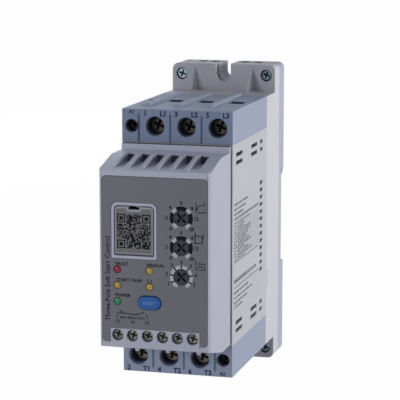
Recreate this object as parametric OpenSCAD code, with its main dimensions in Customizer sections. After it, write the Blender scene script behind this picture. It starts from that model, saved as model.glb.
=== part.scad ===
// Soft starter for three-phase motors, 45 mm wide, for a 35 mm rail or two panel screws.
// Millimetres. +Z is up, +X is to the right, the front looks along -Y.
// The origin is the centre line of the rail on the rear mounting plane.

/* [Terminal blocks] */
// Height of each terminal block
block_h = 13; // [12.6:0.1:15]
// Depth of the terminal blocks and of the housing between them
block_depth = 57; // [54:0.5:70]
// Height over both terminal blocks
body_h = 106; // [102:0.5:130]
// Spacing of the three power poles
pole_pitch = 12.7; // [12.2:0.1:14]
// Last power pole to the side of the block
pole_edge = 6.2; // [5.8:0.1:7]
// Coil terminal to the first power pole
coil_pitch = 9.6; // [9.2:0.1:11]
// Coil terminal to the side of the block
coil_edge = 3.8; // [3.6:0.1:5]
// Mouth of a power screw well
well_d = 8; // [7.4:0.1:8.6]
// Bottom of a power screw well
well_in_d = 6.4; // [6.2:0.1:7]
// Mouth of a coil screw well
coil_well_d = 5.4; // [5:0.1:5.8]
// Bottom of a coil screw well
coil_in_d = 4.6; // [4.4:0.1:4.9]
// Depth of a well down to its screw head
well_depth = 6; // [5:0.1:9]
// Top of a block to the middle of its screw wells
well_in = 6.8; // [6.5:0.1:7]
// Block front to the middle of a cable entry
entry_setback = 30.5; // [28:0.5:34]
// Width of a cable entry
entry_w = 6.3; // [5.6:0.1:6.6]
// Length of a cable entry, front to back
entry_l = 8; // [7:0.1:8.6]
// Diameter of a coil wire entry
coil_entry_d = 3.4; // [2.6:0.1:3.6]
// Drop of the bevel along the top front edge of a block
bevel_drop = 0.3; // [0.2:0.1:1.6]
// Depth of that bevel
bevel_l = 0.6; // [0.4:0.1:8]
// Front of a block to the ribs that part the poles
rib_in = 9; // [6:0.5:14]
// Height of the ribs that part the poles
rib_h = 0.9; // [0.6:0.1:2.2]
// Width of a rib at its foot
rib_w = 3.6; // [3:0.1:4.4]
// Width of a rib along its top
rib_top_w = 2.6; // [1.4:0.1:2.8]
// Width and depth of the grooves between the poles on the front
groove_w = 0.8; // [0.4:0.1:1]
// Top of a block to the end of those grooves
groove_in = 2; // [1:0.1:4]

/* [Clamps and bars] */
// Width of a power clamp cage
cage_w = 9; // [8.4:0.1:10]
// Length of a power clamp cage, front to back
cage_l = 10; // [9.6:0.1:12]
// Sheet of a power clamp cage
cage_t = 1.3; // [1:0.1:1.6]
// Roof of a block over its clamp cages
roof_t = 3; // [2.4:0.1:3.6]
// Width of a coil clamp cage
coil_cage_w = 5; // [4.6:0.1:5.2]
// Length of a coil clamp cage, front to back
coil_cage_l = 8; // [7:0.1:9]
// Sheet of a coil clamp cage
coil_cage_t = 0.9; // [0.7:0.1:1.1]
// Diameter of a power screw head
screw_head_d = 6; // [5.6:0.1:6.2]
// Height of a power screw head
screw_head_h = 2.4; // [2:0.1:3]
// Diameter of a power screw
screw_d = 4; // [3.5:0.1:4.5]
// Diameter of a coil screw head
coil_head_d = 4.2; // [3.8:0.1:4.4]
// Diameter of a coil screw
coil_screw_d = 2.8; // [2.4:0.1:3]
// Width of a power bar
bar_w = 4; // [3.4:0.1:4.4]
// Thickness of a power bar
bar_t = 1.2; // [0.8:0.1:1.4]
// Width of a coil strip
coil_strip_w = 2.4; // [2:0.1:2.8]
// Thickness of a coil strip
coil_strip_t = 0.8; // [0.5:0.1:1]
// How far a coil strip lies over the driver board
strip_over = 7; // [5:0.5:9]

/* [Housing] */
// Wall of the housing, base and cover
wall = 2; // [1.6:0.1:2.4]
// Length of a long side vent
vent_long = 10.4; // [6:0.2:12]
// Length of a short side vent and of the small holes
vent_short = 4.4; // [3:0.2:5.4]
// Height of a side vent
vent_h = 1.5; // [1:0.1:1.8]
// Spacing of the two rows of side vents
vent_row = 3.2; // [2.6:0.1:4]
// Seam of a block to the nearer row of side vents
vent_drop = 4.7; // [4:0.1:6]
// Spacing of the column of small holes
hole_pitch = 3.04; // [2.6:0.02:3.4]
// Small holes above the middle one, and as many below it
hole_rows = 6; // [4:1:7]
// Block front to the first long side vents
vent_first = 5.6; // [4:0.1:8]
// Block front to the second long side vents
vent_second = 30.2; // [26:0.1:31]
// Block front to the short side vents and the small holes
vent_third = 45.3; // [44:0.1:47]
// Length of the latches that hold the housing on the base
latch_l = 2; // [1.4:0.1:3]
// Height of those latches
latch_h = 7; // [5:0.5:9]
// Middle of the body down to the latches
latch_drop = 24.5; // [20:0.5:26]

/* [Base and rear plate] */
// Depth of the mounting base
base_depth = 23; // [20:0.5:28]
// Rear wall of the mounting base
base_floor = 3; // [2.4:0.1:3.6]
// Thickness of the fixing ears
ear_t = 8.6; // [7.6:0.1:10]
// Height of the upper ear above the block
ear_up = 11.5; // [11:0.1:14]
// Height of the lower ear below the block
ear_down = 9.5; // [9:0.1:12]
// Corner radius of the ears
corner_r = 2.5; // [1:0.1:3.5]
// Thickness of the rear plate
plate_t = 8.7; // [8.4:0.1:10]
// Width of a fixing slot
slot_d = 5; // [4.5:0.1:5.5]
// Width of the head recess in front of a fixing slot
slot_head_d = 6.8; // [6.2:0.1:7.4]
// Depth of that head recess
slot_head_h = 2.5; // [1:0.1:4]
// Edge of an ear to the round end of its slot
slot_in = 4.1; // [3:0.1:4.6]
// Ear screw to the middle of the body
ear_screw_x = 18.5; // [17.6:0.1:19]
// Ear screw to the edge of its ear
ear_screw_in = 4.5; // [3.6:0.1:5]
// Recess of an ear screw
ear_bore_d = 5; // [4.8:0.1:5.6]
// Head of an ear screw
ear_head_d = 4.1; // [3.8:0.1:4.5]
// Height of an ear screw head
ear_head_h = 2.2; // [1.6:0.1:2.6]
// Face of an ear to the head of its screw
ear_sink = 1.6; // [0.4:0.1:2]
// Diameter of an ear screw
ear_screw_d = 2.9; // [2.4:0.1:3.1]
// How far an ear screw goes into the rear plate
ear_screw_grip = 6; // [4:0.1:7]
// Middle of the body to the flute in an ear
flute_x = 12.6; // [11.6:0.1:12.9]
// Foot of a flute's steep left side
flute_left = 3; // [2:0.1:3.2]
// Foot of a flute's gentle right side
flute_right = 5; // [3.4:0.1:5.2]
// Depth of a flute at its foot
flute_deep = 3; // [1.5:0.1:3.4]
// Edge of an ear to the tip of its flute
flute_in = 1.5; // [0.8:0.1:3]
// Width of a pocket in the edge of the rear plate
pocket_w = 3.6; // [3:0.1:4]
// Width of a pocket, front to back
pocket_l = 5; // [3:0.1:5.4]
// Depth of those pockets
pocket_deep = 8; // [5:0.5:10]
// Middle of the body to the inner pockets
pocket_in = 6.6; // [6.2:0.1:7.4]
// Middle of the body to the outer pockets
pocket_out = 12.3; // [11.4:0.1:13]

/* [Rail grip] */
// Height of the rail
rail_h = 35; // [35:0.5:36]
// Thickness of the lip slot for the rail
lip_slot = 1.4; // [1.2:0.1:1.8]
// Depth of the rail notch
notch_depth = 4.1; // [3.6:0.1:4.4]
// Room above the rail in the notch
rail_room = 1; // [0.5:0.1:1.5]
// Reach of the fixed hook behind the rail
hook_h = 2.5; // [1.8:0.1:3]
// Width of the rail clip
clip_w = 16; // [12:0.5:20]
// Thickness of the rail clip
clip_t = 3; // [2.6:0.1:3.4]
// Lower edge of the rear plate to the end of the rail clip
clip_in = 12.9; // [10:0.1:16]
// Height of the clip's nose
nose_h = 4.4; // [3.6:0.1:5]
// Reach of the clip behind the rail
nose_reach = 1.6; // [1:0.1:2]
// Travel of the rail clip
clip_travel = 4; // [3:0.1:4.4]
// Outside diameter of the clip spring
spring_d = 2.6; // [2.2:0.1:2.8]
// Wire of the clip spring
spring_wire = 0.45; // [0.35:0.05:0.55]
// Length of the clip spring at rest
spring_l = 10; // [9:0.5:11]
// Height of the peg under the clip spring
peg_h = 2.6; // [2:0.1:3]

/* [Front cover] */
// How far the cover stands out from the blocks
cover_depth = 31.1; // [29:0.1:36]
// Step in from the side of the body to the side of the cover
cover_inset = 0.5; // [0.3:0.1:1]
// Corner radius of the cover
cover_r = 1.4; // [0.6:0.1:1.8]
// Seam of the upper block to the flat top of the cover
top_drop = 2.8; // [2:0.1:4]
// Fall of the cover's sloped top
slope_drop = 3.8; // [3:0.1:5]
// Flat length of the top before its slope
top_flat = 15; // [12:0.5:18]
// Seam of the lower block to the flat underside of the cover
under_rise = 0.7; // [0.4:0.1:2]
// Rise of the cover's sloped underside
under_slope = 4; // [3:0.1:5]
// Flat length of the underside before its slope
under_flat = 13.3; // [10:0.1:16]
// Depth of the collar under the upper block
collar_l = 2.5; // [1.6:0.1:4]
// Gap between the collar and the upper block
collar_gap = 0.4; // [0.2:0.1:0.8]
// Depth of the seam along the rear edge of the cover's sides
seam_deep = 0.6; // [0.3:0.1:0.9]
// Width of that seam
seam_w = 1; // [0.5:0.1:1.6]
// Spacing of the top louvres
louvre_pitch = 5.9; // [5.4:0.05:6.2]
// Width of a louvre
louvre_w = 4.4; // [3.6:0.1:4.8]
// Collar to the back end of the louvres
louvre_end = 8; // [6:0.5:10]
// Lower edge of the slope to the louvre floor
louvre_rise = 0.3; // [0.2:0.1:1]
// Plastic under a louvre floor
louvre_skin = 1.4; // [1:0.1:2]
// Length of the vent behind a louvre
louvre_vent_l = 4; // [2:0.5:5]
// Plastic over that vent
louvre_lip = 0.8; // [0.6:0.1:1.2]
// Width of the tongues that keep the lower screws in
tongue_w = 1.8; // [1:0.1:2.4]
// How far a tongue hangs below the cover
tongue_h = 5; // [2:0.1:5.6]
// Thickness of a tongue
tongue_t = 1.4; // [1:0.1:2]
// Side of the posts in the cover's upper corners that the control board rests on
post_w = 3.6; // [3:0.1:4.4]

/* [Front panel] */
// Thickness of the front panel
panel_t = 0.8; // [0.5:0.1:1]
// Side of the cover to the side of the panel
panel_side = 1.3; // [0.8:0.1:1.8]
// Lower edge of the cover's face to the panel
panel_low = 2; // [1.4:0.1:3]
// Upper edge of the cover's face to the panel
panel_high = 2.4; // [1.6:0.1:3.4]
// Corner radius of the panel
panel_r = 1.6; // [0.5:0.1:2.4]
// Left side of the face to the middle of the lid
lid_in = 13.9; // [13.3:0.1:14.3]
// Lower edge of the face to the foot of the lid
lid_low = 36.2; // [35.8:0.1:38]
// Width of the lid
lid_w = 15; // [14:0.1:15.2]
// Height of the lid
lid_h = 18.6; // [17:0.1:19.4]
// Thickness of the lid
lid_t = 1.8; // [1.4:0.1:1.9]
// Radius of the lid's upper corners
lid_r = 1.2; // [0.6:0.1:2]
// Gap round the lid
lid_gap = 0.4; // [0.3:0.05:0.5]
// Width of the frame round the lid
lid_frame = 1.2; // [0.8:0.1:1.3]
// Radius of the lid's hinge barrel
hinge_r = 1.2; // [1:0.1:1.4]
// Radius of the lid's hinge pins
hinge_pin_r = 0.6; // [0.5:0.05:0.7]
// Width of the finger notch in the lid
nick_w = 4.3; // [3:0.1:6]
// Depth of the finger notch in the lid
nick_h = 1.1; // [0.7:0.1:1.6]
// Depth of the well behind the lid
lid_well = 9; // [7:0.1:10]
// Width of the service socket
socket_w = 11; // [9:0.1:13]
// Height of the service socket
socket_h = 8; // [6:0.1:12]
// Wall of the service socket
socket_shell = 1; // [0.6:0.1:1.4]

/* [Dials, lamps and button] */
// Right side of the face to the dials
dial_in = 11.4; // [10.5:0.1:12]
// Lower edge of the face to the lowest dial
dial_low = 28.7; // [27:0.1:30]
// Spacing of the dials
dial_pitch = 11.3; // [10.6:0.1:12.4]
// Diameter of a dial
dial_d = 5.8; // [5:0.1:6.4]
// Height of a dial's head
dial_h = 2.6; // [2.2:0.1:3.4]
// Diameter of a dial's stem
dial_stem_d = 3.6; // [3:0.1:4]
// Width of the cross slot in a dial
dial_slot_w = 0.9; // [0.6:0.1:1.2]
// Side of a trimmer body
trimmer_w = 9.5; // [8:0.1:10]
// Depth of a trimmer body
trimmer_h = 6; // [5:0.1:7]
// Diameter of an indicator lamp
lamp_d = 2.7; // [2.2:0.1:3]
// Left side of the face to the first column of lamps
lamp_in = 7.2; // [6.7:0.1:7.9]
// Left side of the face to the second column of lamps and the reset button
button_in = 20; // [19.5:0.1:20.5]
// Lower edge of the face to the lowest lamp
lamp_low = 18; // [17:0.1:19]
// Bevel round the front of a lamp
lamp_bevel = 0.3; // [0.2:0.05:0.5]
// Spacing of the lamps
lamp_pitch = 6.2; // [5.6:0.1:6.3]
// Width of the reset button
button_w = 8.8; // [8:0.1:9.4]
// Height of the reset button
button_h = 5.1; // [4.5:0.1:5.8]
// How far the reset button stands proud
button_proud = 0.9; // [0.4:0.1:1.4]
// Travel of the reset button
button_travel = 0.8; // [0.4:0.1:1]
// Diameter of the reset button's stem
button_stem_d = 3.4; // [2.6:0.1:3.8]
// Rim that keeps the reset button in the cover
button_rim = 0.7; // [0.4:0.1:1]
// Thickness of that rim
rim_t = 1; // [0.6:0.1:1.4]

/* [Control terminals] */
// Inner side of the cover to the side of the control terminals
control_in = 2.18; // [1.1:0.02:2.9]
// Lower edge of the face to the control screws
control_low = 4.8; // [4.4:0.1:5.2]
// Bore round a control screw
control_bore_d = 4.6; // [4.4:0.1:5]
// Head of a control screw
control_head_d = 3.9; // [3.6:0.1:4.2]
// Height of a control screw head
control_head_h = 1.8; // [1.4:0.1:2.2]
// Diameter of a control screw
control_screw_d = 2.4; // [2:0.1:2.6]
// Depth of a control screw head below the face
control_sink = 1.7; // [0.4:0.1:2]
// Height of the bare strip round the control screws
control_strip = 7.5; // [7:0.1:8.4]
// Width of a control clamp
control_cage_w = 4.4; // [4:0.1:4.5]
// Length of a control clamp, front to back
control_cage_l = 6; // [5:0.1:7]
// Height of a control clamp
control_cage_h = 4.6; // [4:0.1:4.8]
// Sheet of a control clamp
control_cage_t = 0.8; // [0.6:0.1:0.9]
// Width of a control wire entry
control_entry_w = 4.2; // [4.1:0.1:4.4]
// Length of a control wire entry, front to back
control_entry_l = 5.2; // [4.4:0.1:5.6]
// Face of the cover to the control clamps
control_setback = 6.8; // [6.4:0.1:7.2]

/* [Inside] */
// Face of the cover to the control board
board_setback = 16; // [15.4:0.1:18]
// Thickness of the circuit boards
board_t = 1.6; // [1:0.1:2]
// Height of the driver board
driver_h = 42; // [38:1:44]
// Height of a thyristor module
module_h = 56; // [54:1:60]
// Thickness of a thyristor module
module_t = 9; // [7:0.5:12]
// Gap between neighbouring modules and relays
module_gap = 1.2; // [0.8:0.1:2]
// Height of a bypass relay
relay_h = 36; // [30:1:38]
// End of a module to its power bar
bar_in = 3; // [2:0.1:4]
// Plate of the heat sink
sink_plate = 5; // [4:0.5:7]
// Thickness of a heat sink fin
fin_t = 1.6; // [1.2:0.1:2]
// Number of heat sink fins
fin_count = 9; // [7:1:10]
// End of the heat sink to the end of the base, inside
sink_end = 4; // [2:0.5:8]
// Width of the board link
link_w = 20; // [16:1:24]
// Height of the board link
link_h = 5; // [4:0.1:6]
// Length of each half of the board link
link_l = 8; // [6:0.5:10]
// Side of a pin in the board link
pin_w = 0.64; // [0.5:0.02:0.8]
// Number of pins in one row of the board link
link_pins = 7; // [5:1:8]

/* [Fits] */
// Gap round pieces that slip into each other
slip = 0.2; // [0.15:0.05:0.25]
// Gap round a screw in its hole
screw_gap = 0.15; // [0.1:0.05:0.2]
// Gap round pieces that turn or slide in use
run_gap = 0.25; // [0.2:0.05:0.3]

/* [Hidden] */
$fn = 48;
// Overshoot of a cut past the face that it opens
over = 0.5;

// Depths, from the rear plane forwards
y_plate = -plate_t;
y_base = y_plate - base_depth;
y_block = y_base - block_depth;
y_face = y_block - cover_depth;
y_ear = y_plate - ear_t;
y_pocket = y_plate - base_floor;
y_entry = y_block + entry_setback;
y_board = y_face + board_setback;

// Widths
poles = 3;
body_w = coil_edge + coil_pitch + (poles - 1) * pole_pitch + pole_edge;
half_w = body_w / 2;
inner_half = half_w - wall;
cover_half = half_w - cover_inset;
cover_inner = cover_half - wall;

// Heights
z_top = body_h / 2;
z_seam = z_top - block_h;
z_ear = z_top + ear_up;
z_foot = -(z_top + ear_down);
z_well = z_top - well_in;
z_roof = z_top - roof_t;
cage_h = z_roof - z_seam - slip;
z_collar = z_seam - collar_gap;
z_shoulder = z_seam - top_drop;
z_face_top = z_shoulder - slope_drop;
z_under = -(z_seam - under_rise);
z_face_low = z_under + under_slope;
z_louvre = z_face_top + louvre_rise;
z_cavity = z_louvre - louvre_skin;
louvres = 6;

// Places of the power poles and coil terminal on the upper block
function pole_x(i) = half_w - pole_edge - pole_pitch * (poles - 1 - i);
coil_x = -(half_w - coil_edge);

// Clamps, bars and boards behind the blocks
cage_front = y_entry - cage_l / 2;
bar_y = cage_front + cage_t + slip;
coil_cage_front = y_entry - coil_cage_l / 2;
strip_y = coil_cage_front + coil_cage_t + slip;
y_driver = max(strip_y + coil_strip_t, bar_y + bar_t + slip);
y_relay = y_driver + board_t;
y_module = y_base - module_t;
z_bar = module_h / 2 - bar_in;
module_w = pole_pitch - module_gap;
rail_rib = 1.5;

// Rail notch and clip
z_rail = rail_h / 2;
z_notch_top = z_rail + rail_room;
z_ledge = -(z_rail + slip / 2);
z_nose = z_ledge - nose_h;
z_notch_low = z_nose - slip / 2;
z_clip_low = z_foot + clip_in;
y_lip = -notch_depth + lip_slot;
nose_short = 0.6;
y_nose = -nose_short;
y_clip = y_plate + run_gap;
y_channel = y_clip + clip_t + run_gap;
spring_half = spring_d / 2 + run_gap;
peg_half = spring_half - run_gap / 2;
z_spring_top = z_nose - 2 * nose_h / 3 - run_gap;
z_peg_top = z_spring_top - spring_l;
z_peg_low = z_peg_top - peg_h;
eye_w = clip_w / 2;
eye_h = 4;
eye_in = 1.6;

// Front panel layout, from the lower edge of the face
z_control = z_face_low + control_low;
z_lid = z_face_low + lid_low;
z_button = z_face_low + lamp_low;
lid_x = lid_in - cover_half;
dial_x = cover_half - dial_in;
lamp_x = lamp_in - cover_half;
button_x = button_in - cover_half;
lid_open_w = lid_w + 2 * lid_gap;
lid_open_h = lid_h + 2 * lid_gap;
lid_ledge = 0.8;
hinge_y = y_face + hinge_r;
hinge_z = z_lid + hinge_r;
pin_reach = 0.9;
control_count = 6;
control_w = 2 * (cover_inner - control_in);
control_pitch = control_w / control_count;
y_wall = y_face + wall;
y_trimmer = y_board - trimmer_h;
stem_depth = 3;
switch_w = 6;
switch_h = 4.5;
chip_w = 2;
chip_h = 1.2;
y_control_cage = y_face + control_setback;
z_board_low = z_face_low + wall + over;
z_board_top = z_cavity - over;
lamp_bezel = 0.15;

// Helpers
// Extrudes an outline in X and Z from y0 back to y1
module along_y(y0, y1) {
    translate([0, y1, 0])
        rotate([90, 0, 0])
            linear_extrude(y1 - y0)
                children();
}

// Extrudes an outline in Y and Z from x0 to x1
module along_x(x0, x1) {
    translate([x0, 0, 0])
        rotate([90, 0, 90])
            linear_extrude(x1 - x0)
                children();
}

// Rectangle of width w about x = 0 between two heights
module strip(w, z0, z1) {
    translate([-w / 2, z0])
        square([w, z1 - z0]);
}

// Rectangle between two heights with round corners
module round_strip(w, z0, z1, r) {
    strip(w - 2 * r, z0, z1);
    strip(w, z0 + r, z1 - r);
    for (x = [-1, 1], z = [z0 + r, z1 - r])
        translate([x * (w / 2 - r), z])
            circle(r);
}

// Rectangle whose two upper corners are round
module arch_strip(w, z0, z1, r) {
    strip(w, z0, z1 - r);
    strip(w - 2 * r, z0, z1);
    for (x = [-1, 1])
        translate([x * (w / 2 - r), z1 - r])
            circle(r);
}

// Box between two corners
module span(a, b) {
    translate(a)
        cube(b - a);
}

// Round rod along Y
module rod_y(d, y0, y1) {
    translate([0, y0, 0])
        rotate([-90, 0, 0])
            cylinder(d = d, h = y1 - y0);
}

// Oval outline about the origin
module oval(w, h) {
    square([w - h, h], center = true);
    for (x = [-1, 1])
        translate([x * (w - h) / 2, 0])
            circle(d = h);
}

// Screw along Y with a cross slot, its head's front at y = 0
module screw(head_d, head_h, d, length) {
    slot_w = head_d / 6;
    slot_l = head_d * 0.72;
    difference() {
        union() {
            rod_y(head_d, 0, head_h);
            rod_y(d, head_h, length);
        }
        for (a = [0, 90])
            rotate([0, a + 20, 0])
                translate([-slot_l / 2, -over, -slot_w / 2])
                    cube([slot_l, over + head_h / 2, slot_w]);
    }
}

// Clamp cage open from top to bottom, its front middle at the origin, with a screw hole at height z
module cage(w, l, h, t, hole_d, z) {
    difference() {
        span([-w / 2, 0, 0], [w / 2, l, h]);
        span([-w / 2 + t, t, -over], [w / 2 - t, l - t, h + over]);
        translate([0, 0, z])
            rod_y(hole_d, -over, t + over);
    }
}

// Turns a piece of the upper block into its place on the lower block
module on_lower_block() {
    rotate([0, 180, 0])
        children();
}

// Terminal blocks
module block_profile() {
    polygon([
        [y_block, z_seam], [y_block, z_top - bevel_drop], [y_block + bevel_l, z_top],
        [y_base, z_top], [y_base, z_seam]
    ]);
}

// Rib between two poles, with a sloped front end
module pole_rib() {
    start = y_block + rib_in;
    intersection() {
        along_y(start, y_base)
            polygon([
                [-rib_w / 2, z_top - over], [rib_w / 2, z_top - over], [rib_w / 2, z_top],
                [rib_top_w / 2, z_top + rib_h], [-rib_top_w / 2, z_top + rib_h], [-rib_w / 2, z_top]
            ]);
        along_x(-rib_w, rib_w)
            polygon([
                [start, z_top - over], [start, z_top], [start + 2 * rib_h, z_top + rib_h],
                [y_base, z_top + rib_h], [y_base, z_top - over]
            ]);
    }
}

// Screw well, head room and shank hole, from the front of the block to its clamp
module well(mouth_d, in_d, head_h, shank_d, cage_y) {
    flare = (mouth_d - in_d) * over / well_depth;
    translate([0, y_block - over, z_well])
        rotate([-90, 0, 0])
            cylinder(d1 = mouth_d + flare, d2 = in_d, h = well_depth + over);
    translate([0, y_block + well_depth, z_well]) {
        rod_y(in_d, -over, head_h);
        rod_y(shank_d + 2 * screw_gap, 0, cage_y - y_block - well_depth + over);
    }
}

// Room for a clamp cage, open towards the housing
module cage_room(w, l) {
    span([-w / 2 - slip, y_entry - l / 2 - slip, z_seam - over],
         [w / 2 + slip, y_entry + l / 2 + slip, z_roof]);
}

module terminal_block() {
    difference() {
        union() {
            along_x(-half_w, half_w)
                block_profile();
            for (i = [0 : poles - 1])
                translate([pole_x(i) - pole_pitch / 2, 0, 0])
                    pole_rib();
        }
        for (i = [0 : poles - 1])
            translate([pole_x(i), 0, 0]) {
                well(well_d, well_in_d, screw_head_h, screw_d, cage_front);
                cage_room(cage_w, cage_l);
                span([-entry_w / 2, y_entry - entry_l / 2, z_roof - over],
                     [entry_w / 2, y_entry + entry_l / 2, z_top + over]);
                translate([-pole_pitch / 2, y_block, 0])
                    along_y(-over, groove_w)
                        strip(groove_w, z_seam - over, z_top - groove_in);
            }
        translate([coil_x, 0, 0]) {
            well(coil_well_d, coil_in_d, screw_head_h, coil_screw_d, coil_cage_front);
            cage_room(coil_cage_w, coil_cage_l);
            translate([0, y_entry, z_roof - over])
                cylinder(d = coil_entry_d, h = roof_t + rib_h + 2 * over);
        }
    }
}

module upper_terminal_block() {
    color([0.52, 0.57, 0.68])
        terminal_block();
}

module lower_terminal_block() {
    color([0.52, 0.57, 0.68])
        on_lower_block()
            terminal_block();
}

// Terminal screws, clamps and bars
module power_screws() {
    for (i = [0 : poles - 1])
        translate([pole_x(i), y_block + well_depth, z_well])
            screw(screw_head_d, screw_head_h, screw_d, cage_front + cage_t - y_block - well_depth);
}

module line_screws() {
    color([0.42, 0.41, 0.38])
        power_screws();
}

module load_screws() {
    color([0.42, 0.41, 0.38])
        on_lower_block()
            power_screws();
}

module coil_screw() {
    translate([coil_x, y_block + well_depth, z_well])
        screw(coil_head_d, screw_head_h, coil_screw_d, coil_cage_front + coil_cage_t - y_block - well_depth);
}

module coil_screws() {
    color([0.42, 0.41, 0.38]) {
        coil_screw();
        on_lower_block()
            coil_screw();
    }
}

module power_clamps() {
    for (i = [0 : poles - 1])
        translate([pole_x(i), cage_front, z_seam])
            cage(cage_w, cage_l, cage_h, cage_t, screw_d + 2 * screw_gap, z_well - z_seam);
}

module line_clamps() {
    color([0.75, 0.74, 0.70])
        power_clamps();
}

module load_clamps() {
    color([0.75, 0.74, 0.70])
        on_lower_block()
            power_clamps();
}

module coil_clamp() {
    translate([coil_x, coil_cage_front, z_seam])
        cage(coil_cage_w, coil_cage_l, cage_h, coil_cage_t, coil_screw_d + 2 * screw_gap, z_well - z_seam);
}

module coil_clamps() {
    color([0.75, 0.74, 0.70]) {
        coil_clamp();
        on_lower_block()
            coil_clamp();
    }
}

// Bars from the clamps down to the thyristor modules
module power_bars() {
    for (i = [0 : poles - 1])
        translate([pole_x(i), 0, 0])
            along_x(-bar_w / 2, bar_w / 2)
                polygon([
                    [bar_y, z_bar], [bar_y, z_roof - slip], [bar_y + bar_t, z_roof - slip],
                    [bar_y + bar_t, z_bar + bar_t], [y_module, z_bar + bar_t], [y_module, z_bar]
                ]);
}

module line_bars() {
    color([0.72, 0.45, 0.30])
        power_bars();
}

module load_bars() {
    color([0.72, 0.45, 0.30])
        on_lower_block()
            power_bars();
}

module coil_strip() {
    translate([coil_x, 0, 0])
        span([-coil_strip_w / 2, y_driver - coil_strip_t, driver_h / 2 - strip_over],
             [coil_strip_w / 2, y_driver, z_roof - slip]);
}

module coil_strips() {
    color([0.80, 0.70, 0.42]) {
        coil_strip();
        on_lower_block()
            coil_strip();
    }
}

// Housing between the blocks
module side_vents() {
    for (row = [0, 1], s = [-1, 1])
        translate([0, y_block, s * (z_seam - vent_drop - row * vent_row)]) {
            for (y = [vent_first, vent_second])
                span([-half_w - over, y, -vent_h / 2], [half_w + over, y + vent_long, vent_h / 2]);
            span([-half_w - over, vent_third, -vent_h / 2],
                 [half_w + over, vent_third + vent_short, vent_h / 2]);
        }
    for (i = [-hole_rows : hole_rows])
        translate([0, y_block + vent_third, i * hole_pitch])
            span([-half_w - over, 0, -vent_h / 2], [half_w + over, vent_short, vent_h / 2]);
}

// Slits in a housing wall for the bars and the coil strip of the upper block
module bar_slits() {
    for (i = [0 : poles - 1])
        translate([pole_x(i), 0, 0])
            span([-bar_w / 2 - slip, bar_y - slip, z_seam - wall - over],
                 [bar_w / 2 + slip, bar_y + bar_t + slip, z_seam + over]);
    translate([coil_x, 0, 0])
        span([-coil_strip_w / 2 - slip, y_driver - coil_strip_t - slip, z_seam - wall - over],
             [coil_strip_w / 2 + slip, y_driver + slip, z_seam + over]);
}

// Pair of ribs on one wall that hold an edge of the driver board
module board_ribs() {
    end = driver_h / 2 - strip_over - slip;
    for (y = [y_driver - slip - rail_rib, y_driver + board_t + slip])
        span([inner_half - rail_rib, y, -end], [inner_half + over, y + rail_rib, end]);
}

// Outline of a side latch behind the housing, grown by g
module latch_outline(g) {
    bevel = latch_l / 3;
    tip = latch_l + g;
    side = latch_h / 2 + g;
    translate([y_base, -latch_drop])
        polygon([
            [-over, -side], [tip - bevel, -side], [tip, bevel - side],
            [tip, side - bevel], [tip - bevel, side], [-over, side]
        ]);
}

// Latches on both sides of the housing, grown by g, from x0 out to x1
module side_latch(g, x0, x1) {
    along_x(x0, x1)
        latch_outline(g);
    along_x(-x1, -x0)
        latch_outline(g);
}

module housing() {
    color([0.86, 0.87, 0.88])
        difference() {
            union() {
                along_y(y_block, y_base)
                    difference() {
                        strip(body_w, -z_seam, z_seam);
                        strip(2 * inner_half, -(z_seam - wall), z_seam - wall);
                    }
                board_ribs();
                mirror([1, 0, 0])
                    board_ribs();
                side_latch(0, half_w - wall / 2, half_w);
            }
            side_vents();
            bar_slits();
            on_lower_block()
                bar_slits();
        }
}

// Mounting base and rear plate
module ear_outline() {
    round_strip(body_w, z_foot, z_ear, corner_r);
}

// Runs its children at the upper ear, then mirrored at the lower one, with the height of the ear's edge
module at_ears() {
    for (s = [-1, 1]) {
        $side = s;
        $edge = s > 0 ? z_ear : z_foot;
        children();
    }
}

// Slot open at the edge of an ear, with a round end
module u_slot(d, y0, y1) {
    zc = $edge - $side * slot_in;
    translate([0, 0, zc])
        rod_y(d, y0, y1);
    low = min(zc, $edge + $side * over);
    high = max(zc, $edge + $side * over);
    span([-d / 2, y0, low], [d / 2, y1, high]);
}

// Puts its children at both screws of an ear
module at_ear_screws() {
    for (x = [-1, 1])
        translate([x * ear_screw_x, 0, $edge - $side * ear_screw_in])
            children();
}

// Pocket in the edge of the rear plate, at an ear
module plate_pocket() {
    low = $edge - $side * pocket_deep;
    high = $edge + $side * over;
    front = y_plate + wall / 2;
    span([-pocket_w / 2, front, min(low, high)], [pocket_w / 2, front + pocket_l, max(low, high)]);
}

// Flute between the screw pad and the middle of an ear, which runs out to a tip towards the edge
module flute() {
    tall = abs($edge) - flute_in - z_top;
    tip = 0.05;
    foot = [
        [-flute_left, 0], [-flute_left, -over], [flute_right, -over], [flute_right, 0], [0, flute_deep]
    ];
    translate([0, y_ear, $side > 0 ? z_top : -z_top - tall])
        linear_extrude(tall, scale = $side > 0 ? tip : 1 / tip)
            polygon($side > 0 ? foot : tip * foot);
}

module mounting_base() {
    color([0.83, 0.84, 0.85])
        difference() {
            union() {
                along_y(y_base, y_plate)
                    strip(body_w, -z_top, z_top);
                along_y(y_ear, y_plate)
                    ear_outline();
            }
            along_y(y_base - over, y_pocket)
                strip(2 * inner_half, -(z_top - wall), z_top - wall);
            side_latch(slip, half_w - wall / 2 - slip, half_w + over);
            at_ears() {
                u_slot(slot_d, y_ear - over, y_plate + over);
                u_slot(slot_head_d, y_ear - over, y_ear + slot_head_h);
                at_ear_screws() {
                    rod_y(ear_bore_d, y_ear - over, y_ear + ear_sink + ear_head_h);
                    rod_y(ear_screw_d + 2 * screw_gap, y_ear, y_plate + over);
                }
                for (x = [-1, 1])
                    translate([x * flute_x, 0, 0])
                        flute();
            }
        }
}

module ear_screws() {
    color([0.55, 0.55, 0.56])
        at_ears()
            at_ear_screws()
                translate([0, y_ear + ear_sink, 0])
                    screw(ear_head_d, ear_head_h, ear_screw_d, ear_t - ear_sink + ear_screw_grip);
}

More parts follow.
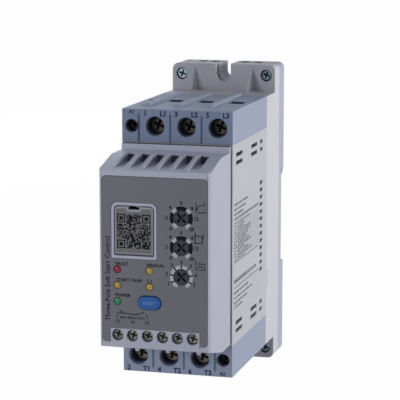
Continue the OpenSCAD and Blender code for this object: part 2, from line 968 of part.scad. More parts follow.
// Notch for the rail, with the fixed hook at its top
module rail_notch() {
    polygon([
        [over, z_notch_low], [-notch_depth, z_notch_low], [-notch_depth, z_notch_top],
        [y_lip, z_notch_top], [y_lip, z_notch_top - hook_h], [0, z_notch_top], [over, z_notch_top]
    ]);
}

// Channel of the rail clip, with the window for its nose
module clip_channel() {
    w = clip_w / 2 + run_gap;
    low = z_nose - clip_travel - run_gap;
    span([-w, y_plate - over, z_foot - over], [w, y_channel, z_ledge + run_gap]);
    span([-w, y_plate - over, low], [w, over, z_ledge + run_gap]);
}

module rear_plate() {
    color([0.62, 0.66, 0.74])
        difference() {
            union() {
                difference() {
                    along_y(y_plate, 0)
                        ear_outline();
                    along_x(-half_w - over, half_w + over)
                        rail_notch();
                    clip_channel();
                }
                span([-peg_half, y_clip, z_peg_low], [peg_half, y_channel + over, z_peg_top]);
            }
            at_ears() {
                u_slot(slot_d, y_plate - over, over);
                at_ear_screws()
                    rod_y(ear_screw_d + 2 * screw_gap, y_plate - over, y_plate + ear_screw_grip + slip);
                for (x = [-1, 1], v = $side > 0 ? [pocket_in, pocket_out] : [pocket_out])
                    translate([x * v, 0, 0])
                        plate_pocket();
            }
        }
}

module rail_clip() {
    y_back = y_clip + clip_t;
    color([0.35, 0.37, 0.40])
        difference() {
            along_x(-clip_w / 2, clip_w / 2)
                polygon([
                    [y_clip, z_clip_low], [y_clip, z_ledge], [y_lip, z_ledge], [y_lip, z_ledge + nose_reach],
                    [y_nose, z_ledge - nose_reach / 2], [y_nose, z_nose], [y_back, z_nose],
                    [y_back, z_clip_low]
                ]);
            span([-spring_half, y_clip - over, z_peg_low - run_gap],
                 [spring_half, y_back + over, z_spring_top]);
            translate([0, 0, z_clip_low + eye_in])
                span([-eye_w / 2, y_clip - over, 0], [eye_w / 2, y_back + over, eye_h]);
        }
}

// Coil spring along Z, swept as one closed tube
module coil_spring(d, wire, length, turns) {
    ring_steps = 18;
    sides = 6;
    rings = turns * ring_steps;
    rise = (length - wire) / rings;
    points = [
        for (i = [0 : rings], k = [0 : sides - 1])
            let (
                a = 360 * i / ring_steps,
                b = 360 * k / sides + 90,
                r = (d - wire) / 2 + wire / 2 * cos(b)
            )
            [r * cos(a), r * sin(a), wire / 2 + i * rise + wire / 2 * sin(b)]
    ];
    skin = [
        for (i = [0 : rings - 1], k = [0 : sides - 1])
            let (n = (k + 1) % sides, p = i * sides, q = p + sides)
            [p + k, p + n, q + n, q + k]
    ];
    foot = [for (k = [0 : sides - 1]) sides - 1 - k];
    head = [for (k = [0 : sides - 1]) rings * sides + k];
    polyhedron(points, concat(skin, [foot, head]));
}

module clip_spring() {
    color([0.70, 0.71, 0.73])
        translate([0, y_clip + clip_t / 2, z_peg_top])
            coil_spring(spring_d, spring_wire, spring_l, 6);
}

module heat_sink() {
    w = 2 * (inner_half - slip);
    h = z_top - wall - sink_end;
    color([0.72, 0.73, 0.75]) {
        along_y(y_base, y_base + sink_plate)
            strip(w, -h, h);
        for (i = [0 : fin_count - 1])
            translate([(i / (fin_count - 1) - 0.5) * (w - fin_t), 0, 0])
                along_y(y_base + sink_plate - over, y_pocket)
                    strip(fin_t, -h, h);
    }
}

// Power electronics
module at_modules() {
    for (i = [0 : poles - 1])
        translate([(i - (poles - 1) / 2) * pole_pitch, 0, 0])
            children();
}

module thyristor_modules() {
    color([0.16, 0.16, 0.17])
        at_modules()
            along_y(y_module, y_base)
                strip(module_w, -module_h / 2, module_h / 2);
}

module bypass_relays() {
    color([0.20, 0.22, 0.26])
        at_modules()
            along_y(y_relay, y_module)
                strip(module_w, -relay_h / 2, relay_h / 2);
}

module driver_board() {
    color([0.12, 0.35, 0.22])
        along_y(y_driver, y_driver + board_t)
            strip(2 * (inner_half - slip), -driver_h / 2, driver_h / 2);
}

// Pin strip that joins the two boards
module board_link() {
    pin_pitch = (link_w - link_h / 2) / link_pins;
    color([0.14, 0.14, 0.15]) {
        for (y = [y_board + board_t, y_driver - link_l])
            along_y(y, y + link_l)
                strip(link_w, -link_h / 2, link_h / 2);
        for (i = [0 : link_pins - 1], s = [-1, 1])
            translate([(i - (link_pins - 1) / 2) * pin_pitch, 0, s * link_h / 4])
                along_y(y_board + board_t + over, y_driver - over)
                    strip(pin_w, -pin_w / 2, pin_w / 2);
    }
}

module control_board() {
    color([0.12, 0.35, 0.22])
        along_y(y_board, y_board + board_t)
            strip(2 * (cover_inner - slip), z_board_low, z_board_top);
}

// Front cover
module cover_profile() {
    polygon([
        [y_face, z_face_low], [y_face, z_face_top], [y_block - top_flat, z_shoulder],
        [y_block - collar_l, z_shoulder], [y_block - collar_l, z_collar], [y_block, z_collar],
        [y_block, z_under], [y_block - under_flat, z_under]
    ]);
}

module cover_room() {
    polygon([
        [y_wall, z_face_low + wall], [y_wall, z_cavity], [y_block + over, z_cavity],
        [y_block + over, z_under + wall], [y_block - under_flat, z_under + wall]
    ]);
}

// Plan of the cover, with round front corners
module cover_plan() {
    translate([-cover_half, y_face + cover_r])
        square([2 * cover_half, cover_depth - cover_r]);
    translate([-cover_half + cover_r, y_face])
        square([2 * (cover_half - cover_r), cover_depth]);
    for (x = [-1, 1])
        translate([x * (cover_half - cover_r), y_face + cover_r])
            circle(cover_r);
}

// Outline of the front panel, grown by g
module panel_outline(g) {
    low = z_face_low + panel_low;
    high = z_face_top - panel_high;
    difference() {
        round_strip(2 * (cover_half - panel_side + g), low - g, high + g, panel_r);
        strip(control_w - 2 * g, low - g - over, z_face_low + control_strip - g);
        translate([lid_x, 0])
            arch_strip(lid_open_w + 2 * lid_frame - 2 * g, z_lid - lid_gap - lid_frame + g,
                       z_lid + lid_h + lid_gap + lid_frame - g, lid_r + lid_frame);
    }
}

// Puts its children at the three dials, from the top
module at_dials(which) {
    for (i = which)
        translate([dial_x, 0, z_face_low + dial_low + dial_pitch * (2 - i)])
            children();
}

// Places of the lamps: column and row from the lowest
red_lamp_at = [[lamp_x, 2]];
amber_lamps_at = [[lamp_x, 1], [button_x, 2], [button_x, 1]];
green_lamp_at = [[lamp_x, 0]];
all_lamps_at = concat(red_lamp_at, amber_lamps_at, green_lamp_at);

module at_lamps(places) {
    for (p = places)
        translate([p[0], 0, z_face_low + lamp_low + lamp_pitch * p[1]])
            children();
}

// Holes for the dials, lamps and button, from y0 to y1
module control_holes(y0, y1) {
    at_dials([0 : 2])
        rod_y(dial_d + 2 * run_gap, y0, y1);
    at_lamps(all_lamps_at)
        rod_y(lamp_d + 2 * lamp_bezel, y0, y1);
    translate([button_x, 0, z_button])
        along_y(y0, y1)
            oval(button_w + 2 * run_gap, button_h + 2 * run_gap);
}

// Puts its children at the control terminals
module at_controls() {
    for (i = [0 : control_count - 1])
        translate([(i - (control_count - 1) / 2) * control_pitch, 0, 0])
            children();
}

// One louvre in the sloped top, with a vent behind it that leads down into the cover
module louvre() {
    back = y_block - collar_l - louvre_end;
    half = louvre_w / 2;
    span([-half, y_face - over, z_louvre], [half, back, z_shoulder + over]);
    span([-half, back - over, z_cavity - over], [half, back + louvre_vent_l, z_shoulder - louvre_lip]);
}

// Room of the lid: its opening, the well behind it and the hinge
module lid_room() {
    inner_w = lid_open_w - 2 * lid_ledge;
    z_low = z_lid - lid_gap;
    translate([lid_x, 0, 0]) {
        along_y(y_face - over, y_face + lid_t + slip / 2)
            arch_strip(lid_open_w, z_low, z_low + lid_open_h, lid_r + lid_gap);
        along_y(y_face, y_face + lid_well + over)
            strip(inner_w, z_low, z_low + lid_open_h - lid_ledge);
        along_y(y_face - over, hinge_y + hinge_r + lid_gap)
            strip(lid_open_w, z_low, hinge_z + hinge_r + lid_gap);
        translate([0, hinge_y, hinge_z])
            rotate([0, 90, 0])
                cylinder(r = hinge_pin_r + screw_gap, h = lid_w + 2 * (pin_reach + slip), center = true);
    }
}

module front_cover() {
    color([0.76, 0.77, 0.80])
        difference() {
            union() {
                difference() {
                    intersection() {
                        along_x(-cover_half, cover_half)
                            cover_profile();
                        translate([0, 0, -z_top])
                            linear_extrude(body_h)
                                cover_plan();
                    }
                    along_x(-cover_inner, cover_inner)
                        cover_room();
                }
                translate([lid_x, 0, 0])
                    along_y(y_wall - over, y_face + lid_well)
                        strip(lid_open_w + 2 * lid_frame, z_lid - lid_gap - lid_frame,
                              z_lid + lid_h + lid_gap + lid_frame);
                for (x = [-cover_inner - over, cover_inner - post_w])
                    span([x, y_wall - over, z_cavity - post_w],
                         [x + post_w + over, y_board, z_cavity + over]);
                for (i = [0 : poles - 1])
                    translate([-pole_x(i), 0, 0])
                        span([-tongue_w / 2, y_block - tongue_t, z_under - tongue_h],
                             [tongue_w / 2, y_block - slip, z_under + wall / 2]);
            }
            for (x = [-cover_half - over, cover_half - seam_deep])
                span([x, y_block - seam_w, z_under - over], [x + seam_deep + over, y_block + over, z_seam]);
            lid_room();
            along_y(y_face - over, y_face + panel_t)
                panel_outline(slip / 2);
            control_holes(y_face - over, y_wall + over);
            for (i = [0 : louvres - 1])
                translate([(i - (louvres - 1) / 2) * louvre_pitch, 0, 0])
                    louvre();
            at_controls() {
                translate([0, 0, z_control])
                    rod_y(control_bore_d, y_face - over, y_wall + over);
                span([-control_entry_w / 2, y_control_cage, z_under - over],
                     [control_entry_w / 2, y_control_cage + control_entry_l, z_control]);
            }
        }
}

module front_panel() {
    color([0.38, 0.38, 0.41])
        difference() {
            along_y(y_face, y_face + panel_t)
                panel_outline(0);
            control_holes(y_face - over, y_face + panel_t + over);
        }
}

// Lid over the service socket, hinged along its foot
module service_lid() {
    color([0.74, 0.75, 0.78])
        translate([lid_x, 0, 0]) {
            along_y(y_face, y_face + lid_t)
                difference() {
                    arch_strip(lid_w, hinge_z, z_lid + lid_h, lid_r);
                    translate([-nick_w / 2, z_lid + lid_h - nick_h])
                        square([nick_w, nick_h + over]);
                }
            translate([0, hinge_y, hinge_z])
                rotate([0, 90, 0]) {
                    cylinder(r = hinge_r, h = lid_w, center = true);
                    cylinder(r = hinge_pin_r, h = lid_w + 2 * pin_reach, center = true);
                }
        }
}

module service_socket() {
    front = y_face + lid_well + slip;
    room = [socket_w - 2 * socket_shell, socket_h - 2 * socket_shell];
    color([0.15, 0.15, 0.16])
        translate([lid_x, 0, z_lid + lid_h / 2])
            difference() {
                along_y(front, y_board)
                    square([socket_w, socket_h], center = true);
                along_y(front - over, y_board - socket_shell)
                    square(room, center = true);
            }
}

// Dial with a cross slot, its front just below the face
module dial() {
    slot_l = dial_d * 0.78;
    slot_deep = dial_h / 2;
    front = y_face + slip;
    difference() {
        union() {
            rod_y(dial_d, front, front + dial_h);
            rod_y(dial_stem_d, front + dial_h, y_trimmer + stem_depth - slip);
        }
        for (a = [45, 135])
            rotate([0, a, 0])
                translate([-slot_l / 2, front - over, -dial_slot_w / 2])
                    cube([slot_l, over + slot_deep, dial_slot_w]);
    }
}

module ramp_up_dial() {
    color([0.22, 0.23, 0.25])
        at_dials([0])
            dial();
}

module ramp_down_dial() {
    color([0.22, 0.23, 0.25])
        at_dials([1])
            dial();
}

module current_dial() {
    color([0.22, 0.23, 0.25])
        at_dials([2])
            dial();
}

module trimmers() {
    color([0.20, 0.30, 0.52])
        at_dials([0 : 2])
            difference() {
                along_y(y_trimmer, y_board)
                    square(trimmer_w, center = true);
                rod_y(dial_stem_d + 2 * run_gap, y_trimmer - over, y_trimmer + stem_depth);
            }
}

module reset_button() {
    back = y_wall + slip;
    stem_end = y_board - switch_h + button_travel;
    color([0.16, 0.36, 0.66])
        translate([button_x, 0, z_button]) {
            along_y(y_face - button_proud, back + over)
                oval(button_w, button_h);
            along_y(back, back + rim_t)
                oval(button_w + 2 * button_rim + 2 * run_gap, button_h + 2 * button_rim + 2 * run_gap);
            rod_y(button_stem_d, back, stem_end);
        }
}

module reset_switch() {
    color([0.18, 0.18, 0.19])
        translate([button_x, 0, z_button])
            difference() {
                along_y(y_board - switch_h, y_board)
                    square(switch_w, center = true);
                rod_y(button_stem_d + 2 * run_gap, y_board - switch_h - over,
                      y_board - switch_h + 2 * button_travel + run_gap);
            }
}

// Light pipe with a bevelled front
module light_pipe() {
    translate([0, y_face - lamp_bevel, 0])
        rotate([-90, 0, 0])
            cylinder(d1 = lamp_d - 2 * lamp_bevel, d2 = lamp_d, h = lamp_bevel);
    rod_y(lamp_d, y_face, y_board - chip_h);
}

module red_lamp() {
    color([0.70, 0.10, 0.22])
        at_lamps(red_lamp_at)
            light_pipe();
}

module amber_lamps() {
    color([0.85, 0.65, 0.22])
        at_lamps(amber_lamps_at)
            light_pipe();
}

module green_lamp() {
    color([0.15, 0.55, 0.32])
        at_lamps(green_lamp_at)
            light_pipe();
}

module lamp_chips() {
    color([0.92, 0.92, 0.88])
        at_lamps(all_lamps_at)
            along_y(y_board - chip_h, y_board)
                square(chip_w, center = true);
}

// Control terminals behind the foot of the cover
module control_terminals() {
    low = z_face_low + wall + slip;
    high = z_control + control_cage_h + slip;
    room_w = control_cage_w + 2 * slip;
    room_h = control_cage_h + 2 * slip;
    color([0.24, 0.26, 0.29])
        difference() {
            along_y(y_wall, y_board)
                strip(control_w, low, high);
            at_controls() {
                translate([0, 0, z_control]) {
                    rod_y(control_bore_d, y_wall - over, y_face + control_sink + control_head_h);
                    rod_y(control_screw_d + 2 * screw_gap, y_wall, y_control_cage + over);
                    span([-room_w / 2, y_control_cage - slip, -room_h / 2],
                         [room_w / 2, y_board + over, room_h / 2]);
                }
                span([-control_entry_w / 2, y_control_cage, low - over],
                     [control_entry_w / 2, y_control_cage + control_entry_l, z_control]);
            }
        }
}

module control_screws() {
    color([0.62, 0.62, 0.60])
        at_controls()
            translate([0, y_face + control_sink, z_control])
                screw(control_head_d, control_head_h, control_screw_d,
                      y_control_cage + control_cage_t - y_face - control_sink);
}

module control_clamps() {
    color([0.75, 0.74, 0.70])
        at_controls()
            translate([0, y_control_cage, z_control - control_cage_h / 2])
                cage(control_cage_w, control_cage_l, control_cage_h, control_cage_t,
                     control_screw_d + 2 * screw_gap, control_cage_h / 2);
}

mounting_base();
rear_plate();
rail_clip();
clip_spring();
ear_screws();
heat_sink();
housing();
upper_terminal_block();
lower_terminal_block();
line_screws();
load_screws();
coil_screws();
line_clamps();
load_clamps();
coil_clamps();
line_bars();
load_bars();
coil_strips();
thyristor_modules();
bypass_relays();
driver_board();
board_link();
control_board();
front_cover();
front_panel();
service_lid();
service_socket();
ramp_up_dial();
ramp_down_dial();
current_dial();
trimmers();
reset_button();
reset_switch();
red_lamp();
amber_lamps();
green_lamp();
lamp_chips();
control_terminals();
control_screws();
control_clamps();
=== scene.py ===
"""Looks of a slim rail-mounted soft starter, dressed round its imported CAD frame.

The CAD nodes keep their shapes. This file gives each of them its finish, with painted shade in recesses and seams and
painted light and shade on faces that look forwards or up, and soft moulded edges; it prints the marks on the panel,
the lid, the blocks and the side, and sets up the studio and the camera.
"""

from __future__ import annotations

import logging
import math
import random
from collections.abc import Callable
from dataclasses import dataclass, field, replace
from enum import Enum
from functools import partial

import bpy
from mathutils import Matrix, Vector


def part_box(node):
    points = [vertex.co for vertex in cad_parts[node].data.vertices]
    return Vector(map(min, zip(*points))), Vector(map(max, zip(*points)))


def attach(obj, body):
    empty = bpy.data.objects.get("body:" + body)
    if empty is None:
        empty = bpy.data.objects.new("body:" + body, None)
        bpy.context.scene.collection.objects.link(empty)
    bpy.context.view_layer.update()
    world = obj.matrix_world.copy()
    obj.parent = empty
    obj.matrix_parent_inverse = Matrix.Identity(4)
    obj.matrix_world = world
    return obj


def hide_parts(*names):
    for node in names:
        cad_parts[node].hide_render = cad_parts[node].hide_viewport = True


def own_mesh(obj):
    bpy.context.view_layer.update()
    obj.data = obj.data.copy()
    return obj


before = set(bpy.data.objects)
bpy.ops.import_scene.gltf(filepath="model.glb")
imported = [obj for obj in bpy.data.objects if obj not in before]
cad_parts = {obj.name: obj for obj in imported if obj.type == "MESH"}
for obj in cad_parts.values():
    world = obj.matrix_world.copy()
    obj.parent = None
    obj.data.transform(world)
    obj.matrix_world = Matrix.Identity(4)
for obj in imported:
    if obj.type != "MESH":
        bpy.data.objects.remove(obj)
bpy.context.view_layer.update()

LOG = logging.getLogger("soft_starter")
MM = 0.001
MERGE_MM = 0.001
INK_T = 0.06
CAP_SHARE = 0.72
LETTER_STEPS = 2
STROKE_STEPS = 1
SECTOR_STEP_DEG = 10.0
WHITE = (1.0, 1.0, 1.0, 1.0)
Triple = tuple[float, float, float]
Colour = Triple
Point = tuple[float, float]
Tree = bpy.types.NodeTree
Node = bpy.types.Node
Socket = bpy.types.NodeSocket
Material = bpy.types.Material
Piece = bpy.types.Object
Value = float | Socket
Inputs = dict[str | int, Value | tuple[float, ...]]

# Places on the part, in millimetres, that bound the painted shade and painted light.
# A pair is a middle and a half width, and a well has its radius between them.
BODY_HALF = 22.5
BLOCK_FRONT = -88.7
BLOCK_TOP = 53.0
PANEL_FACE = -119.8
SEAM_HALF = 21.88
SEAM_TOP = 39.52
SEAM_REAR = -89.75
LOUVRE_FLOOR = 33.7
SLOPE_RISE = 0.236
SLOPE_FOOT = 61.68
GROOVE_HALF = 17.2
GROOVE_FRONT = -119.3
GROOVE_SKIN = 0.2
WELL_Z = 46.2
WELLS = ((-18.7, 2.75, 1.75), (-9.1, 4.05, 3.2), (3.6, 4.05, 3.2), (16.3, 4.05, 3.2))
ENTRY_Y = (-58.2, 4.05)
ENTRY_TOP = 52.7
PLATE_MIDDLE = 1.0
POCKET_X = (9.45, 4.8)
POCKET_Y = (-5.2, 2.6)
POCKET_Z = (60.0, 3.25)
EAR_FACE = -17.3
EAR_SCREW_X = (18.5, 2.6)
FLUTE_SLOPES = ((-10.0, 2.5), (15.2, 2.5))
FLUTE_RISE = (4.7, 4.7)
FLUTE_FOOT = 3.0
FLUTE_TAPER = 0.3
FLUTE_LEAST = 0.3

# Shares of painted shade that darkens recesses, and of painted light that makes the cover's grooves and faces that
# look up paler.
ENTRY_DARK = 0.7
SEAM_DARK = 0.88
POCKET_DARK = 0.93
FLUTE_DARK = 0.65
UPWARD_PAINTED_LIGHT = 0.42
GROOVE_PAINTED_LIGHT = 0.8

# Directions, and how far a face has to look their way, for the painted light and shade on faces that look forwards or
# up.
FORWARDS = (0.0, -1.0, 0.0)
UPWARDS = (0.0, 0.0, 1.0)
FACING = (0.3, 0.9)
UPWARD = 0.7

BUMP = 0.5
METAL_MOTTLE = 4.0
NOISE_MIDDLE = 0.5
MIX_SHARE, MIX_FIRST, MIX_SECOND, MIX_RESULT = 0, 6, 7, 2
LENS_COAT = {"Coat Weight": 0.4, "Coat Roughness": 0.08}


class Surface(Enum):
    """Kinds of surface, each with its own procedural detail."""

    MOULDED = "moulded"
    METAL = "metal"
    LENS = "lens"


class Shade(Enum):
    """Places where a finish gets painted shade: slots, vents, wells, seams, pockets and flutes; the cover's also gets
    painted light.
    """

    NONE = "none"
    SLOT = "slot_shade"
    VENT = "vent_shade"
    WELL = "well_shade"
    SEAM = "seam_shade"
    POCKET = "pocket_shade"
    FLUTE = "flute_shade"


class Face(Enum):
    """Flat faces that carry print, as the turn from a drawing's plane to the part."""

    FRONT = Matrix(((1, 0, 0), (0, 0, -1), (0, 1, 0))).to_4x4()
    RIGHT = Matrix(((0, 0, 1), (1, 0, 0), (0, 1, 0))).to_4x4()


@dataclass(frozen=True)
class Finish:
    """One finish of the part.

    Attributes:
        name: Name of the material.
        colour: Linear base colour.
        roughness: Mean roughness.
        surface: Kind of surface detail.
        grain_mm: Size of the fine grain.
        relief_mm: Depth of the grain.
        mottle: Share by which the colour wanders.
        specular: Specular level of the shader.
        shade: Painted shade that darkens the finish in its recesses; on the cover also painted light on grooves and
            upward faces.
        face_mm: Where the piece's front face stands, for the shade in its slots.
        front: Linear base colour of faces that look forwards, where it differs: painted light and shade for how the
            lamps fall.
        top: Linear base colour of faces that look up, where it differs: painted light for how the lamps fall.
    """

    name: str
    colour: Colour
    roughness: float
    surface: Surface = Surface.MOULDED
    grain_mm: float = 0.5
    relief_mm: float = 0.010
    mottle: float = 0.05
    specular: float = 0.22
    shade: Shade = Shade.NONE
    face_mm: float = 0.0
    front: Colour | None = None
    top: Colour | None = None


# Painted light and shade: the block's forward faces are darker and its upward faces paler than its sides.
BLOCK = Finish(
    "block_plastic", (0.345, 0.387, 0.51), 0.6, specular=0.09, shade=Shade.WELL,
    front=(0.229, 0.285, 0.425), top=(0.45, 0.528, 0.735),
)
# Painted light: a copy of the block plastic whose forward faces are paler, for the lower block that gets more light.
LOWER_BLOCK_LIT = replace(BLOCK, name="block_plastic_lower_lit", front=(0.30, 0.354, 0.488))
HOUSING = Finish("housing_plastic", (0.507, 0.52, 0.565), 0.55, shade=Shade.VENT)
# Painted shade: the base's forward faces are darker than its sides.
BASE = Finish("base_plastic", (0.615, 0.62, 0.67), 0.55, shade=Shade.FLUTE, front=(0.41, 0.418, 0.492))
PLATE = Finish("plate_plastic", (0.43, 0.455, 0.57), 0.55, shade=Shade.POCKET)
# Painted light: the cover's forward and upward faces are paler than its sides.
COVER = Finish(
    "cover_plastic", (0.44, 0.45, 0.545), 0.52, shade=Shade.SEAM,
    front=(0.484, 0.51, 0.635), top=(0.453, 0.482, 0.61),
)
LID = Finish("lid_plastic", (0.36, 0.37, 0.45), 0.52)
PANEL = Finish("panel_film", (0.18, 0.181, 0.22), 0.55, grain_mm=0.25, relief_mm=0.004, mottle=0.06)
LID_FILM = replace(PANEL, name="lid_film", colour=(0.205, 0.205, 0.216), specular=0.07)
DIAL = Finish("dial_plastic", (0.038, 0.042, 0.063), 0.42, shade=Shade.SLOT, face_mm=-119.6)
BUTTON = Finish("button_plastic", (0.026, 0.118, 0.40), 0.38)
CLIP = Finish("clip_plastic", (0.36, 0.37, 0.40), 0.45)
INSERT = Finish("insert_plastic", (0.30, 0.31, 0.36), 0.5)
TRIMMER = Finish("trimmer_plastic", (0.02, 0.05, 0.20), 0.4)
CHIP = Finish("chip_white", (0.75, 0.74, 0.70), 0.4)
BOARD = Finish("board_laminate", (0.02, 0.13, 0.06), 0.4, grain_mm=0.3)
EPOXY = Finish("epoxy", (0.02, 0.02, 0.022), 0.5)
SCREW = Finish("screw_steel", (0.036, 0.03, 0.031), 0.4, Surface.METAL, mottle=0.2, shade=Shade.SLOT, face_mm=-82.7)
# Painted light: a paler copy of the screw steel for the screws in the lower wells, where more light falls.
LOAD_SCREW_LIT = replace(SCREW, name="screw_lit_lower", colour=(0.115, 0.105, 0.098), roughness=0.36, mottle=0.3)
CONTROL_SCREW = replace(
    SCREW, name="screw_plated", colour=(0.145, 0.143, 0.14), roughness=0.26, mottle=0.6, face_mm=-118.1
)
EAR_SCREW = replace(SCREW, name="screw_zinc", colour=(0.105, 0.132, 0.162), roughness=0.24, mottle=0.6, face_mm=-15.7)
CLAMP = Finish("clamp_steel", (0.55, 0.54, 0.50), 0.32, Surface.METAL)
SPRING = Finish("spring_steel", (0.45, 0.45, 0.45), 0.3, Surface.METAL)
BAR = Finish("bar_metal", (0.68, 0.42, 0.26), 0.32, Surface.METAL)
SINK = Finish("sink_metal", (0.62, 0.63, 0.64), 0.38, Surface.METAL)
RED = Finish("lamp_red", (0.37, 0.004, 0.048), 0.2, Surface.LENS)
AMBER = Finish("lamp_amber", (0.55, 0.35, 0.055), 0.2, Surface.LENS)
GREEN = Finish("lamp_green", (0.018, 0.30, 0.11), 0.2, Surface.LENS)
INK_DARK = Finish("ink_dark", (0.006, 0.006, 0.014), 0.6, specular=0.08)
INK_GREY = Finish("ink_grey", (0.5, 0.5, 0.585), 0.55)
INK_BLUE = Finish("ink_blue", (0.018, 0.022, 0.08), 0.6, specular=0.2)
INK_PALE = Finish("ink_pale", (0.13, 0.26, 0.56), 0.5)
INK_SIDE = Finish("ink_side", (0.05, 0.053, 0.065), 0.6, specular=0.2)


@dataclass(frozen=True)
class Skin:
    """Detail of one kind of surface: its fine grain, its cloudy colour and the swing of its roughness."""

    name: str
    grain_detail: float
    cloud_detail: float
    cloud_scale: float
    swing: float
    stretch: Triple = (1.0, 1.0, 1.0)


MOULDED_SKIN = Skin("moulded_skin", 2.0, 3.0, 70.0, 0.08)
DRAWN_SKIN = Skin("drawn_metal", 3.0, 4.0, 600.0, 0.1, (1.0, 0.08, 0.3))
SKIN_IN = {"Colour": "Color", "Roughness": "Float", "Grain": "Float", "Mottle": "Float"}
SHADE_OUT = {"Shade": "Float"}
SKIN_OUT = {"Colour": "Color", "Roughness": "Float", "Height": "Float"}


@dataclass(frozen=True)
class Fade:
    """A fade from one down to a low level, between two places in millimetres."""

    start: float
    stop: float
    low: float = 0.0


# Fades of painted shade in slots, vents and wells, and of painted light along the cover's grooves.
SLOT_FADE = Fade(0.1, 0.4, 0.1)
VENT_FADE = Fade(0.25, 0.8, 0.62)
WELL_FADE = Fade(0.2, 4.0, 0.16)
GROOVE_PAINTED_LIGHT_FADE = Fade(-119.0, -102.0)


def feed(tree: Tree, node: Node, inputs: Inputs) -> None:
    """Set or link inputs of a node.

    Args:
        tree: The node tree.
        node: The node.
        inputs: Number, colour or socket for each input, by its name or place.
    """
    for name, value in inputs.items():
        if isinstance(value, Socket):
            tree.links.new(value, node.inputs[name])
        else:
            node.inputs[name].default_value = value


def add_node(tree: Tree, kind: str, inputs: Inputs | None = None, **settings: str | Tree) -> Node:
    """Add a node to a tree.

    Args:
        tree: The node tree.
        kind: Kind of shader node.
        inputs: What its inputs get.
        settings: Its other settings.

    Returns:
        The node.
    """
    node = tree.nodes.new("ShaderNode" + kind)
    for name, setting in settings.items():
        setattr(node, name, setting)
    feed(tree, node, inputs or {})
    return node


def reckon(tree: Tree, operation: str, *values: Value) -> Socket:
    """Add a math node to a tree and give its result."""
    return add_node(tree, "Math", dict(enumerate(values)), operation=operation).outputs[0]


def scaled(tree: Tree, colour: Socket, factor: Socket) -> Socket:
    """Give a colour times a factor, by a vector node in the tree."""
    return add_node(tree, "VectorMath", {0: colour, "Scale": factor}, operation="SCALE").outputs[0]


def blended(tree: Tree, share: Socket, first: Socket, second: Socket | tuple[float, ...], kind: str = "MIX") -> Socket:
    """Mix two colours by the share of the second."""
    inputs = {MIX_SHARE: share, MIX_FIRST: first, MIX_SECOND: second}
    return add_node(tree, "Mix", inputs, data_type="RGBA", blend_type=kind).outputs[MIX_RESULT]


def axes_of(tree: Tree, coordinate: str) -> tuple[Socket, ...]:
    """Give the X, Y and Z of a texture coordinate."""
    place = add_node(tree, "TexCoord").outputs[coordinate]
    return tuple(add_node(tree, "SeparateXYZ", {0: place}).outputs)


